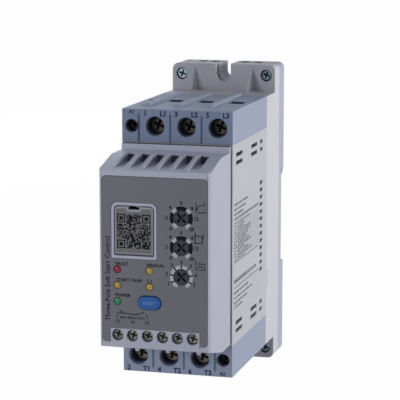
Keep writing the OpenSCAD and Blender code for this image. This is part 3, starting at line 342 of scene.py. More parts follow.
class NodeGroups:
    """Shared surface effects, each built once as a shader node group."""

    def __init__(self) -> None:
        """Build the groups."""
        self.moulded = self._skin(MOULDED_SKIN)
        self.drawn = self._skin(DRAWN_SKIN)
        self.facing = self._facing()
        self.shades = {
            Shade.SLOT: self._slot_shade(),
            Shade.VENT: self._vent_shade(),
            Shade.WELL: self._well_shade(),
            Shade.SEAM: self._seam_shade(),
            Shade.POCKET: self._pocket_shade(),
            Shade.FLUTE: self._flute_shade(),
        }

    @staticmethod
    def _new(name: str, inputs: dict[str, str], outputs: dict[str, str]) -> tuple[Tree, Node, Node]:
        """Start a group with named sockets.

        Args:
            name: Name of the group.
            inputs: Kind of each input by its name.
            outputs: Kind of each output by its name.

        Returns:
            The group, its input and its output.
        """
        group = bpy.data.node_groups.new(name, "ShaderNodeTree")
        for way, sockets in (("INPUT", inputs), ("OUTPUT", outputs)):
            for socket, kind in sockets.items():
                group.interface.new_socket(socket, in_out=way, socket_type="NodeSocket" + kind)
        return group, group.nodes.new("NodeGroupInput"), group.nodes.new("NodeGroupOutput")

    def _skin(self, skin: Skin) -> Tree:
        """Build a skin: a fine grain, a faint mottle and a roughness that goes with the grain."""
        group, start, end = self._new(skin.name, SKIN_IN, SKIN_OUT)
        calc = partial(reckon, group)
        place = add_node(group, "TexCoord").outputs["Object"]
        along = add_node(group, "Mapping", {"Vector": place, "Scale": skin.stretch}).outputs[0]
        fine = {"Vector": along, "Detail": skin.grain_detail, "Scale": start.outputs["Grain"]}
        broad = {"Vector": place, "Detail": skin.cloud_detail, "Scale": skin.cloud_scale}
        grain, cloud = (add_node(group, "TexNoise", inputs).outputs["Fac"] for inputs in (fine, broad))
        factor = calc("MULTIPLY_ADD", calc("SUBTRACT", cloud, NOISE_MIDDLE), start.outputs["Mottle"], 1.0)
        lower = calc("SUBTRACT", start.outputs["Roughness"], skin.swing)
        sheen = calc("MULTIPLY_ADD", grain, 2 * skin.swing, lower)
        tint = scaled(group, start.outputs["Colour"], factor)
        feed(group, end, {"Colour": tint, "Roughness": sheen, "Height": grain})
        return group

    def _facing(self) -> Tree:
        """Build painted light and shade: a tint of the colour on faces that look one way."""
        inputs = {"Colour": "Color", "Tint": "Color", "Facing": "Vector"}
        group, start, end = self._new("painted_facing_light", inputs, {"Colour": "Color"})
        normal = add_node(group, "TexCoord").outputs["Normal"]
        along = add_node(group, "VectorMath", {0: normal, 1: start.outputs["Facing"]}, operation="DOT_PRODUCT")
        span = {"Value": along.outputs["Value"], "From Min": FACING[0], "From Max": FACING[1]}
        share = add_node(group, "MapRange", span).outputs[0]
        tinted = blended(group, share, start.outputs["Colour"], start.outputs["Tint"], "MULTIPLY")
        feed(group, end, {"Colour": tinted})
        return group

    @staticmethod
    def _fade(group: Tree, value: Socket, fade: Fade) -> Socket:
        """Give the level of a fade with a value."""
        span = {"From Min": fade.start * MM, "From Max": fade.stop * MM, "To Min": 1.0, "To Max": fade.low}
        return add_node(group, "MapRange", {"Value": value, **span}).outputs[0]

    def _shade(self, shade: Shade) -> tuple[Tree, Node, Callable[..., Socket], tuple[Socket, ...]]:
        """Start the group of a shade, and give it with its output, its sums and the part's axes."""
        group, _, end = self._new(shade.value, {}, SHADE_OUT)
        return group, end, partial(reckon, group), axes_of(group, "Object")

    def _slot_shade(self) -> Tree:
        """Build the shade of drive slots and flanks behind a front face."""
        group, start, end = self._new(Shade.SLOT.value, {"Face": "Float"}, SHADE_OUT)
        depth = reckon(group, "SUBTRACT", axes_of(group, "Object")[1], start.outputs["Face"])
        feed(group, end, {"Shade": self._fade(group, depth, SLOT_FADE)})
        return group

    def _vent_shade(self) -> Tree:
        """Build the shade of vents behind the sides of the body."""
        group, end, calc, (x, _, _) = self._shade(Shade.VENT)
        depth = calc("SUBTRACT", BODY_HALF * MM, calc("ABSOLUTE", x))
        feed(group, end, {"Shade": self._fade(group, depth, VENT_FADE)})
        return group

    def _well_shade(self) -> Tree:
        """Build the shade of the screw wells, which stand half turned in the lower block."""
        group, end, calc, (x, y, z) = self._shade(Shade.WELL)
        across = calc("MULTIPLY", x, calc("SIGN", z))
        height = calc("ABSOLUTE", z)
        above = calc("POWER", calc("SUBTRACT", height, WELL_Z * MM), 2.0)
        inside: Value = 0.0
        entry: Value = 0.0
        for place, radius, half in WELLS:
            aside = calc("POWER", calc("SUBTRACT", across, place * MM), 2.0)
            inside = calc("MAXIMUM", inside, calc("LESS_THAN", calc("ADD", aside, above), (radius * MM) ** 2))
            entry = calc("MAXIMUM", entry, calc("COMPARE", across, place * MM, half * MM))
        depth = self._fade(group, calc("SUBTRACT", y, BLOCK_FRONT * MM), WELL_FADE)
        dark = calc("MULTIPLY", inside, calc("SUBTRACT", 1.0, depth))
        below = calc("LESS_THAN", height, ENTRY_TOP * MM)
        entry = calc("MULTIPLY", entry, calc("MULTIPLY", below, ENTRY_DARK))
        entry = calc("MULTIPLY", entry, calc("COMPARE", y, ENTRY_Y[0] * MM, ENTRY_Y[1] * MM))
        feed(group, end, {"Shade": calc("SUBTRACT", 1.0, calc("MAXIMUM", dark, entry))})
        return group

    def _seam_shade(self) -> Tree:
        """Build the painted shade of the cover's seams, and the painted light that makes its grooves and faces that
        look up paler.
        """
        group, end, calc, (x, y, z) = self._shade(Shade.SEAM)
        across = calc("ABSOLUTE", x)
        inward = calc("LESS_THAN", across, SEAM_HALF * MM)
        rear = calc("GREATER_THAN", y, SEAM_REAR * MM)
        top = calc("GREATER_THAN", z, SEAM_TOP * MM)
        dark = calc("MAXIMUM", calc("MULTIPLY", inward, rear), top)
        pale = self._fade(group, y, GROOVE_PAINTED_LIGHT_FADE)
        for test, value, limit in (
            ("LESS_THAN", across, GROOVE_HALF),
            ("GREATER_THAN", y, GROOVE_FRONT),
            ("GREATER_THAN", z, LOUVRE_FLOOR - GROOVE_SKIN),
            ("LESS_THAN", calc("MULTIPLY_ADD", y, -SLOPE_RISE, z), SLOPE_FOOT - GROOVE_SKIN),
        ):
            pale = calc("MULTIPLY", pale, calc(test, value, limit * MM))
        # Painted light: faces that look up, and the grooves below the slope, are made paler.
        upward = calc("GREATER_THAN", axes_of(group, "Normal")[2], UPWARD)
        painted_lift = calc("MAXIMUM", calc("MULTIPLY", upward, UPWARD_PAINTED_LIGHT), calc("MULTIPLY", pale, GROOVE_PAINTED_LIGHT))
        shade = calc("MULTIPLY", calc("MULTIPLY_ADD", dark, -SEAM_DARK, 1.0), calc("ADD", painted_lift, 1.0))
        feed(group, end, {"Shade": shade})
        return group

    def _pocket_shade(self) -> Tree:
        """Build the shade of the pockets in the edges of the rear plate."""
        group, end, calc, (x, y, z) = self._shade(Shade.POCKET)
        across = calc("ABSOLUTE", x)
        height = calc("ABSOLUTE", calc("SUBTRACT", z, PLATE_MIDDLE * MM))
        dark: Value = POCKET_DARK
        for value, (place, half) in ((across, POCKET_X), (y, POCKET_Y), (height, POCKET_Z)):
            dark = calc("MULTIPLY", dark, calc("COMPARE", value, place * MM, half * MM))
        feed(group, end, {"Shade": calc("SUBTRACT", 1.0, dark)})
        return group

    def _flute_shade(self) -> Tree:
        """Build the shade of the right slopes of the flutes and of the screw recesses in the ears."""
        group, end, calc, (x, y, z) = self._shade(Shade.FLUTE)
        above = calc("SUBTRACT", calc("ABSOLUTE", z), BLOCK_TOP * MM)
        inside: Value = 0.0
        for value, (place, half) in ((calc("ABSOLUTE", x), EAR_SCREW_X), *((x, slope) for slope in FLUTE_SLOPES)):
            inside = calc("MAXIMUM", inside, calc("COMPARE", value, place * MM, half * MM))
        inside = calc("MULTIPLY", inside, calc("COMPARE", above, FLUTE_RISE[0] * MM, FLUTE_RISE[1] * MM))
        deepest = calc("MULTIPLY_ADD", above, -FLUTE_TAPER, FLUTE_FOOT * MM)
        deepest = calc("MAXIMUM", deepest, FLUTE_LEAST * MM)
        share = calc("DIVIDE", calc("SUBTRACT", y, EAR_FACE * MM), deepest)
        dark = calc("MULTIPLY", inside, calc("MINIMUM", calc("MAXIMUM", share, 0.0), 1.0))
        feed(group, end, {"Shade": calc("MULTIPLY_ADD", dark, -FLUTE_DARK, 1.0)})
        return group


class Paintbox:
    """Materials of the part, one for each finish."""

    def __init__(self) -> None:
        """Build the shared groups and an empty box."""
        self.groups = NodeGroups()
        self.made: dict[str, Material] = {}

    def material(self, finish: Finish) -> Material:
        """Give the material of a finish, made once."""
        if finish.name not in self.made:
            self.made[finish.name] = self._make(finish)
        return self.made[finish.name]

    def _make(self, finish: Finish) -> Material:
        """Build the material of a finish."""
        material = bpy.data.materials.new("look_" + finish.name)
        material.use_nodes = True
        tree = material.node_tree
        metal = finish.surface is Surface.METAL
        grain = {
            "Colour": (*finish.colour, 1.0),
            "Roughness": finish.roughness,
            "Grain": 1.0 / (finish.grain_mm * MM),
            "Mottle": METAL_MOTTLE * finish.mottle if metal else finish.mottle,
        }
        skin = add_node(tree, "Group", grain, node_tree=self.groups.drawn if metal else self.groups.moulded).outputs
        colour = skin["Colour"]
        # Painted shade in recesses, and on the cover painted light, scales the colour.
        if finish.shade is not Shade.NONE:
            face = {"Face": finish.face_mm * MM} if finish.shade is Shade.SLOT else None
            shade = add_node(tree, "Group", face, node_tree=self.groups.shades[finish.shade])
            colour = scaled(tree, colour, shade.outputs["Shade"])
        # Painted light and shade: faces that look forwards or up get their own colour.
        for painted_face_colour, way in ((finish.front, FORWARDS), (finish.top, UPWARDS)):
            if painted_face_colour is not None:
                tint = (*(there / side for there, side in zip(painted_face_colour, finish.colour)), 1.0)
                facing = {"Colour": colour, "Tint": tint, "Facing": way}
                colour = add_node(tree, "Group", facing, node_tree=self.groups.facing).outputs["Colour"]
        relief = {"Strength": BUMP, "Distance": finish.relief_mm * MM, "Height": skin["Height"]}
        looks = {
            "Base Color": colour,
            "Roughness": skin["Roughness"],
            "Normal": add_node(tree, "Bump", relief).outputs["Normal"],
            "Metallic": 1.0 if metal else 0.0,
            "Specular IOR Level": finish.specular,
        }
        coat = LENS_COAT if finish.surface is Surface.LENS else {}
        feed(tree, tree.nodes["Principled BSDF"], {**looks, **coat})
        return material


@dataclass
class SoftEdges:
    """Moulded edge radii, as live modifiers on a CAD node."""

    width_mm: float
    angle_deg: float = 38.0
    segments: int = 2
    merge_mm: float = 0.002
    flat_deg: float = 0.5
    weight: int = 80

    def apply(self, node: Piece) -> None:
        """Round the sharp edges of a CAD node."""
        merge = node.modifiers.new("merge", "WELD")
        merge.merge_threshold = self.merge_mm * MM
        flats = node.modifiers.new("whole_flats", "DECIMATE")
        flats.decimate_type = "DISSOLVE"
        flats.angle_limit = math.radians(self.flat_deg)
        bevel = node.modifiers.new("soft_edges", "BEVEL")
        bevel.width = self.width_mm * MM
        bevel.segments = self.segments
        bevel.limit_method = "ANGLE"
        bevel.angle_limit = math.radians(self.angle_deg)
        bevel.use_clamp_overlap = False
        shade = node.modifiers.new("even_faces", "WEIGHTED_NORMAL")
        shade.keep_sharp = False
        shade.weight = self.weight


# Each finish with the width of its soft edges, in millimetres, and the CAD nodes that wear both.
DRESSINGS = (
    (BASE, 0.2, "mounting_base"),
    (PLATE, 0.25, "rear_plate"),
    (CLIP, 0.2, "rail_clip"),
    (SPRING, 0.0, "clip_spring"),
    (EAR_SCREW, 0.1, "ear_screws"),
    (SINK, 0.0, "heat_sink"),
    (HOUSING, 0.15, "housing"),
    (BLOCK, 0.2, "upper_terminal_block"),
    (LOWER_BLOCK_LIT, 0.2, "lower_terminal_block"),
    (SCREW, 0.12, "line_screws"),
    (LOAD_SCREW_LIT, 0.12, "load_screws"),
    (SCREW, 0.1, "coil_screws"),
    (CLAMP, 0.0, "line_clamps", "load_clamps", "coil_clamps", "control_clamps"),
    (BAR, 0.0, "line_bars", "load_bars", "coil_strips"),
    (EPOXY, 0.0, "thyristor_modules", "board_link", "service_socket", "reset_switch"),
    (INSERT, 0.0, "bypass_relays", "control_terminals"),
    (BOARD, 0.0, "driver_board", "control_board"),
    (COVER, 0.2, "front_cover"),
    (PANEL, 0.1, "front_panel"),
    (LID, 0.12, "service_lid"),
    (DIAL, 0.15, "ramp_up_dial", "ramp_down_dial", "current_dial"),
    (TRIMMER, 0.0, "trimmers"),
    (BUTTON, 0.4, "reset_button"),
    (RED, 0.5, "red_lamp"),
    (AMBER, 0.5, "amber_lamps"),
    (GREEN, 0.5, "green_lamp"),
    (CHIP, 0.0, "lamp_chips"),
    (CONTROL_SCREW, 0.12, "control_screws"),
)


def only(*pieces: Piece) -> None:
    """Select the given pieces alone, and make the first of them active."""
    bpy.ops.object.select_all(action="DESELECT")
    for piece in pieces:
        piece.select_set(True)
    bpy.context.view_layer.objects.active = pieces[0]


def settle() -> None:
    """Put the place, turn and scale of the selected pieces into their meshes."""
    bpy.ops.object.transform_apply(location=True, rotation=True, scale=True)


def new_plane(name: str, size: Point, place: Vector) -> Piece:
    """Add an upright plane that looks along the depth.

    Args:
        name: Its name.
        size: Its width and height, in millimetres.
        place: Its middle, in millimetres.

    Returns:
        The plane's object, selected alone.
    """
    bpy.ops.object.select_all(action="DESELECT")
    bpy.ops.mesh.primitive_plane_add(size=1.0, location=(0.0, 0.0, 0.0))
    plane = bpy.context.object
    plane.name = name
    plane.data.name = name
    plane.scale = (size[0] * MM, size[1] * MM, 1.0)
    plane.rotation_euler = (math.radians(90), 0.0, 0.0)
    plane.location = place * MM
    settle()
    return plane


def close_ends(sides: int) -> None:
    """Merge the doubles of the mesh in edit mode, fill its open ends, turn its faces outwards and leave the mode.

    Args:
        sides: Most sides of an open end.
    """
    bpy.ops.mesh.select_all(action="SELECT")
    bpy.ops.mesh.remove_doubles(threshold=MERGE_MM * MM)
    bpy.ops.mesh.select_all(action="DESELECT")
    bpy.ops.mesh.select_non_manifold()
    bpy.ops.mesh.fill_holes(sides=sides)
    turn_outwards()


def turn_outwards() -> None:
    """Turn the faces of the mesh in edit mode outwards, and leave the mode."""
    bpy.ops.mesh.select_all(action="SELECT")
    bpy.ops.mesh.normals_make_consistent(inside=False)
    bpy.ops.object.mode_set(mode="OBJECT")


@dataclass
class PrintSheet:
    """Ink marks on one flat face, drawn in millimetres on a sheet and gathered into one piece.

    The level is where the face stands along its normal's axis.
    """

    name: str
    face: Face
    level_mm: float
    body: str
    slot: str
    marks: list[Piece] = field(default_factory=list)

    def words(self, text: str, at: Point, height: float, turn_deg: float = 0.0, weight: float = 0.03) -> None:
        """Print a word.

        Args:
            text: The word.
            at: Its place on the sheet.
            height: Height of its capitals.
            turn_deg: Turn of the word, counter-clockwise.
            weight: Share of the height by which the strokes grow.
        """
        bpy.ops.object.select_all(action="DESELECT")
        bpy.ops.object.text_add(location=(0.0, 0.0, 0.0))
        mark = bpy.context.object
        mark.data.body = text
        mark.data.size = height * MM / CAP_SHARE
        mark.data.align_x = "CENTER"
        mark.data.align_y = "CENTER"
        mark.data.resolution_u = LETTER_STEPS
        mark.data.extrude = INK_T * MM / 2
        mark.data.offset = height * MM * weight
        only(mark)
        bpy.ops.object.convert(target="MESH")
        mark.rotation_euler = (0.0, 0.0, math.radians(turn_deg))
        mark.location = (at[0] * MM, at[1] * MM, 0.0)
        settle()
        self.marks.append(mark)

    def strokes(self, lines: list[list[Point]], width: float) -> None:
        """Draw open lines of one width.

        Args:
            lines: Corners of each line.
            width: Width of the strokes.
        """
        data = bpy.data.curves.new("stroke", "CURVE")
        data.dimensions = "3D"
        data.bevel_depth = width * MM / 2
        data.bevel_resolution = STROKE_STEPS
        data.use_fill_caps = True
        for line in lines:
            spline = data.splines.new("POLY")
            spline.points.add(len(line) - 1)
            for point, (x, y) in zip(spline.points, line):
                point.co = (x * MM, y * MM, 0.0, 1.0)
        mark = bpy.data.objects.new("stroke", data)
        bpy.context.scene.collection.objects.link(mark)
        only(mark)
        bpy.ops.object.convert(target="MESH")
        mark.scale = (1.0, 1.0, INK_T / width)
        settle()
        self.marks.append(mark)

    def sector(self, centre: Point, radii: Point, start_deg: float, sweep_deg: float) -> None:
        """Print part of a ring by spinning its cross section.

        Args:
            centre: Middle of the ring.
            radii: Inner and outer radius.
            start_deg: Angle at which it starts.
            sweep_deg: Angle that it covers, counter-clockwise.
        """
        inner, outer = radii
        mark = new_plane("sector", (outer - inner, INK_T), Vector(((inner + outer) / 2, 0.0, 0.0)))
        bpy.ops.object.mode_set(mode="EDIT")
        bpy.ops.mesh.select_all(action="SELECT")
        steps = max(2, round(sweep_deg / SECTOR_STEP_DEG))
        bpy.ops.mesh.spin(steps=steps, angle=-math.radians(sweep_deg), center=(0, 0, 0), axis=(0, 0, 1))
        close_ends(4)
        mark.rotation_euler = (0.0, 0.0, math.radians(start_deg))
        mark.location = (centre[0] * MM, centre[1] * MM, 0.0)
        settle()
        self.marks.append(mark)

    def lay(self, paintbox: Paintbox, ink: Finish) -> None:
        """Join the marks and lay them on their face, in an ink of the paintbox."""
        only(*self.marks)
        if len(self.marks) > 1:
            bpy.ops.object.join()
        piece = bpy.context.object
        piece.name = self.name
        piece.data.name = self.name
        offset = {Face.FRONT: (0.0, self.level_mm * MM, 0.0), Face.RIGHT: (self.level_mm * MM, 0.0, 0.0)}
        piece.matrix_world = Matrix.Translation(offset[self.face]) @ self.face.value
        settle()
        piece.data.materials.clear()
        piece.data.materials.append(paintbox.material(ink))
        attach(piece, self.body)
        LOG.info("%s: %d faces", piece.name, len(piece.data.polygons))


PANEL_SHEET = partial(PrintSheet, face=Face.FRONT, level_mm=PANEL_FACE, body="body", slot="panel_film")
DIAL_ICONS = [
    [(16.4, 22.3), (16.4, 18.3)],
    [(17.1, 18.4), (20.2, 18.5)],
    [(16.4, 19.2), (17.4, 21.0), (19.6, 21.2), (19.6, 22.3)],
    [(16.0, 10.8), (16.0, 6.7)],
    [(15.4, 6.7), (18.8, 6.8), (18.9, 8.2), (18.4, 9.6), (15.5, 9.5)],
    [(19.3, 10.3), (18.9, 8.2)],
    [(16.3, 0.0), (16.3, -3.5), (19.7, -3.4), (19.7, -1.1), (17.1, -1.1)],
    [(16.9, -3.0), (17.6, -1.9), (18.3, -1.9), (18.9, -2.9)],
]
CONTACT_SYMBOL = [
    [(-15.0, -23.6), (-14.8, -21.8), (-12.5, -21.8)],
    [(-13.85, -20.8), (-11.6, -22.0), (-7.1, -22.1), (-4.1, -21.0)],
    [(-3.75, -21.9), (-2.9, -22.1), (-2.9, -23.7)],
]
# Number at each angle of a ramp dial.
RAMP_NUMBERS = {225.0: "0", 180.0: "2", 138.0: "4", 90.0: "6", 42.0: "8", 0.0: "12", -45.0: "20"}
# Each word of the panel with its place, height, turn and weight.
PANEL_WORDS = (
    ("FAULT", (-12.9, -2.7), 1.25, 0.0, 0.045),
    ("MANUAL", (0.5, -2.7), 1.25, 0.0, 0.045),
    ("START / RUN", (-10.0, -8.9), 1.25, 0.0, 0.045),
    ("POWER", (-12.6, -14.9), 1.25, 0.0, 0.045),
    ("Three-Pole Soft Start Control", (-18.6, -8.6), 1.95, 90.0, 0.02),
    ("AUX RELAY OUT", (-8.8, -23.5), 0.95),
    ("13", (-14.8, -25.2), 1.3),
    ("14", (-8.9, -25.2), 1.3),
    ("23", (-3.0, -25.2), 1.3),
)


@dataclass
class PanelPrint:
    """Marks on the dark front panel."""

    dial_x: float = 10.6
    ramp_z: Point = (16.0, 4.7)
    current_z: float = -6.6
    ring: Point = (3.2, 4.55)
    tick_end: float = 4.8
    tick_w: float = 0.4
    icon_w: float = 0.36
    contact_w: float = 0.34
    number_r: float = 5.8
    number_h: float = 1.35
    bold: float = 0.045
    turn_mark: Point = (-2.0, -8.8)
    turn_ring: Point = (0.62, 0.92)
    turn_span: Point = (120.0, 300.0)
    dark_middles: tuple[float, ...] = (0.0, 90.0, 180.0)
    dark_half: float = 30.0
    grey_middles: tuple[float, ...] = (-49.0, 43.0, 135.0, 230.0)
    grey_half: float = 14.0
    ticks: int = 7
    tick_first: float = 210.0
    tick_step: float = 40.0
    tick_gap: float = 5.0
    last_sweep: float = 28.0
    dark: PrintSheet = field(default_factory=partial(PANEL_SHEET, "panel_print_dark"))
    grey: PrintSheet = field(default_factory=partial(PANEL_SHEET, "panel_print_grey"))

    def build(self, paintbox: Paintbox) -> None:
        """Print the dark and the grey marks, in inks of the paintbox."""
        for z in self.ramp_z:
            self._ramp_scale(z)
        self._current_scale(self.current_z)
        self.dark.strokes(DIAL_ICONS, self.icon_w)
        self.dark.strokes(CONTACT_SYMBOL, self.contact_w)
        self.dark.sector(self.turn_mark, self.turn_ring, *self.turn_span)
        for row in PANEL_WORDS:
            self.dark.words(*row)
        self.dark.lay(paintbox, INK_DARK)
        self.grey.lay(paintbox, INK_GREY)

    def _round_dial(self, z: float, angle_deg: float, radius: float) -> Point:
        """Give the point round a dial at an angle and a radius."""
        turn = math.radians(angle_deg)
        return self.dial_x + radius * math.cos(turn), z + radius * math.sin(turn)

    def _numbers(self, z: float, marks: dict[float, str]) -> None:
        """Print the numbers round the dial at a height, each at its angle."""
        for angle, text in marks.items():
            self.dark.words(text, self._round_dial(z, angle, self.number_r), self.number_h, weight=self.bold)

    def _ramp_scale(self, z: float) -> None:
        """Print the scale of the ramp dial at a height: dark and grey sectors in turn."""
        for sheet, middles, half in (
            (self.dark, self.dark_middles, self.dark_half),
            (self.grey, self.grey_middles, self.grey_half),
        ):
            for middle in middles:
                sheet.sector((self.dial_x, z), self.ring, middle - half, 2 * half)
        self._numbers(z, RAMP_NUMBERS)

    def _current_scale(self, z: float) -> None:
        """Print the scale of the current dial at a height: a grey ring with dark ticks."""
        angles = [self.tick_first - self.tick_step * step for step in range(self.ticks)]
        ends = (self.ring[0], self.tick_end)
        sweep = self.tick_step - 2 * self.tick_gap
        for angle in angles:
            self.grey.sector((self.dial_x, z), self.ring, angle + self.tick_gap, sweep)
        last = angles[-1] - self.tick_gap - self.last_sweep
        self.grey.sector((self.dial_x, z), self.ring, last, self.last_sweep)
        self.dark.strokes([[self._round_dial(z, angle, end) for end in ends] for angle in angles], self.tick_w)
        self._numbers(z, {angle: str(count) for count, angle in enumerate(angles, 1)})


@dataclass
class LidFilm:
    """Printed film on the service lid, with a mosaic that spells nothing.

    An eye is the framed square in a corner of the mosaic, and its sizes are in cells.
    """

    middle_x: float = -8.1
    width: float = 14.1
    low: float = 1.7
    high: float = 18.75
    thick: float = 0.06
    corner: float = 0.6
    corner_steps: int = 4
    nick_w: float = 5.7
    nick_h: float = 1.15
    nick_t: float = 1.0
    cell: float = 0.475
    code_low: float = 3.4
    cells: int = 28
    eye: float = 3.0
    eye_core: float = 1.5
    eye_rim: float = 4.5
    pale: float = 0.43

    def build(self, paintbox: Paintbox) -> None:
        """Cut the film, print it on its finish in the paintbox and lay it on the lid."""
        film = self._sheet()
        film.data.materials.append(self._mosaic(paintbox))
        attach(film, "lid")
        LOG.info("%s: %d faces", film.name, len(film.data.polygons))

    def _sheet(self) -> Piece:
        """Cut the film to its outline and give its object."""
        middle = Vector((self.middle_x, PANEL_FACE, (self.low + self.high) / 2))
        film = new_plane("lid_film", (self.width, self.high - self.low), middle)
        bpy.ops.object.mode_set(mode="EDIT")
        bpy.ops.mesh.select_all(action="SELECT")
        bpy.ops.mesh.bevel(offset=self.corner * MM, segments=self.corner_steps, affect="VERTICES")
        bpy.ops.mesh.select_all(action="SELECT")
        bpy.ops.mesh.extrude_region_move(TRANSFORM_OT_translate={"value": (0.0, -self.thick * MM, 0.0)})
        turn_outwards()
        bpy.ops.object.select_all(action="DESELECT")
        place = (self.middle_x * MM, PANEL_FACE * MM, self.high * MM)
        bpy.ops.mesh.primitive_cube_add(size=1.0, location=place)
        nick = bpy.context.object
        nick.scale = (self.nick_w * MM, self.nick_t * MM, 2 * self.nick_h * MM)
        settle()
        only(film)
        cut = film.modifiers.new("nick", "BOOLEAN")
        cut.operation = "DIFFERENCE"
        cut.object = nick
        bpy.ops.object.modifier_apply(modifier=cut.name)
        bpy.data.objects.remove(nick)
        return film

    def _mosaic(self, paintbox: Paintbox) -> Material:
        """Print random dark cells on the film's finish, with an eye in three corners, and give the material."""
        material = paintbox.material(LID_FILM)
        tree = material.node_tree
        calc = partial(reckon, tree)
        shader = tree.nodes["Principled BSDF"]
        base = shader.inputs["Base Color"].links[0].from_socket
        left = self.middle_x - self.cells * self.cell / 2
        step = 1.0 / (self.cell * MM)
        grid = {
            "Vector": add_node(tree, "TexCoord").outputs["Object"],
            "Location": (-left / self.cell, 0.0, -self.code_low / self.cell),
            "Scale": (step, 0.0, step),
        }
        cells = add_node(tree, "Mapping", grid).outputs[0]
        cell = add_node(tree, "VectorMath", {0: cells}, operation="FLOOR").outputs[0]
        dice = add_node(tree, "TexWhiteNoise", {"Vector": cell}, noise_dimensions="3D")
        mask = calc("GREATER_THAN", dice.outputs["Value"], self.pale)
        x, _, z = add_node(tree, "SeparateXYZ", {0: cell}).outputs
        last = self.cells - 1 - self.eye
        for corner in ((self.eye, self.eye), (self.eye, last), (last, last)):
            away = [calc("ABSOLUTE", calc("SUBTRACT", axis, place)) for axis, place in zip((x, z), corner)]
            ring = calc("MAXIMUM", *away)
            square = calc("MAXIMUM", calc("COMPARE", ring, self.eye, 0.5), calc("LESS_THAN", ring, self.eye_core))
            change = calc("SUBTRACT", square, mask)
            mask = calc("MULTIPLY_ADD", calc("LESS_THAN", ring, self.eye_rim), change, mask)
        for axis in (x, z):
            for test, limit in (("GREATER_THAN", -0.5), ("LESS_THAN", self.cells - 0.5)):
                mask = calc("MULTIPLY", mask, calc(test, axis, limit))
        feed(tree, shader, {"Base Color": blended(tree, mask, base, (*INK_DARK.colour, 1.0))})
        return material


@dataclass
class ButtonWord:
    """Word on the reset button."""

    level: float = -120.7
    place: Point = (-2.0, -17.3)
    height: float = 1.3

    def build(self, paintbox: Paintbox) -> None:
        """Print the word, in an ink of the paintbox."""
        sheet = PrintSheet("button_word", Face.FRONT, self.level, "button", "button_plastic")
        sheet.words("RESET", self.place, self.height)
        sheet.lay(paintbox, INK_PALE)


@dataclass(frozen=True)
class BlockPrint:
    """Terminal marks on the front of one block."""

    name: str
    z: float
    poles: dict[float, tuple[str, str]]
    coil: str
    coil_at: Point
    asides: Point = (-3.9, 3.5)
    height: float = 2.0
    coil_height: float = 1.4
    bold: float = 0.06

    def build(self, paintbox: Paintbox) -> None:
        """Print the marks of the poles and of the coil terminal, in an ink of the paintbox."""
        sheet = PrintSheet(self.name, Face.FRONT, BLOCK_FRONT, "body", "block_plastic")
        for pole, pair in self.poles.items():
            for text, aside in zip(pair, self.asides):
                sheet.words(text, (pole + aside, self.z), self.height, weight=self.bold)
        sheet.words(self.coil, self.coil_at, self.coil_height, weight=self.bold)
        sheet.lay(paintbox, INK_BLUE)


LINE_MARKS = BlockPrint(
    "line_marks", 51.2, {-9.1: ("1", "L1"), 3.6: ("3", "L2"), 16.3: ("5", "L3")}, "A1", (-18.4, 51.7)
)
LOAD_MARKS = BlockPrint(
    "load_marks", -51.6, {-16.3: ("2", "T1"), -3.6: ("4", "T2"), 9.1: ("6", "T3")}, "A2", (18.6, -51.6)
)


@dataclass
class SidePrint:
    """Faint table on the right side of the housing, in dashes that spell nothing."""

    seed: int = 11
    front: float = -86.0
    back: float = -46.0
    column: float = -80.4
    beside: float = 0.7
    headings: tuple[Point, ...] = ((15.8, -64.0), (13.8, -67.0), (11.9, -71.0))
    rules: tuple[float, ...] = (10.4, 9.8, -7.3, -17.4)
    table: Point = (9.0, -7.0)
    table_rows: int = 13
    band: Point = (-14.9, -50.0)
    notes: tuple[Point, ...] = ((-19.5, -62.0), (-21.6, -56.0), (-23.6, -64.0), (-25.4, -73.0))
    note_w: float = 0.85
    band_w: float = 1.5
    cell_w: float = 0.6
    rule_w: float = 0.35
    thin_w: float = 0.16
    ragged: Point = (8.0, 26.0)
    dash: Point = (0.6, 2.2)
    gap: Point = (0.6, 1.1)
    least: float = 0.5

    def build(self, paintbox: Paintbox) -> None:
        """Print the headings, the table, the band and the notes, in an ink of the paintbox."""
        sheet = PrintSheet("side_table", Face.RIGHT, BODY_HALF, "body", "housing_plastic")
        chance = random.Random(self.seed)
        lines = []
        for z, end in self.headings + self.notes:
            lines += self._dashes(chance, z, self.front, end)
        sheet.strokes(lines, self.note_w)
        sheet.strokes(self._dashes(chance, self.band[0], self.front, self.band[1]), self.band_w)
        high, low = self.table
        pitch = (high - low) / self.table_rows
        cells = []
        for row in range(self.table_rows):
            z = high - (row + 0.5) * pitch
            cells += self._dashes(chance, z, self.front, self.column - self.beside)
            cells += self._dashes(chance, z, self.column + self.beside, self.back - chance.uniform(*self.ragged))
        sheet.strokes(cells, self.cell_w)
        sheet.strokes([[(self.front, z), (self.back, z)] for z in self.rules], self.rule_w)
        heights = [high - row * pitch for row in range(1, self.table_rows)]
        thin = [[(self.column, z), (self.back, z)] for z in heights]
        thin += [[(y, high), (y, low)] for y in (self.column, self.back)]
        sheet.strokes(thin, self.thin_w)
        sheet.lay(paintbox, INK_SIDE)

    def _dashes(self, chance: random.Random, z: float, start: float, end: float) -> list[list[Point]]:
        """Fill the row at a height with dashes of chance lengths, and give the ends of each."""
        dashes = []
        y = start
        while y < end - self.least:
            stop = min(y + chance.uniform(*self.dash), end)
            dashes.append([(y, z), (stop, z)])
            y = stop + chance.uniform(*self.gap)
        return dashes


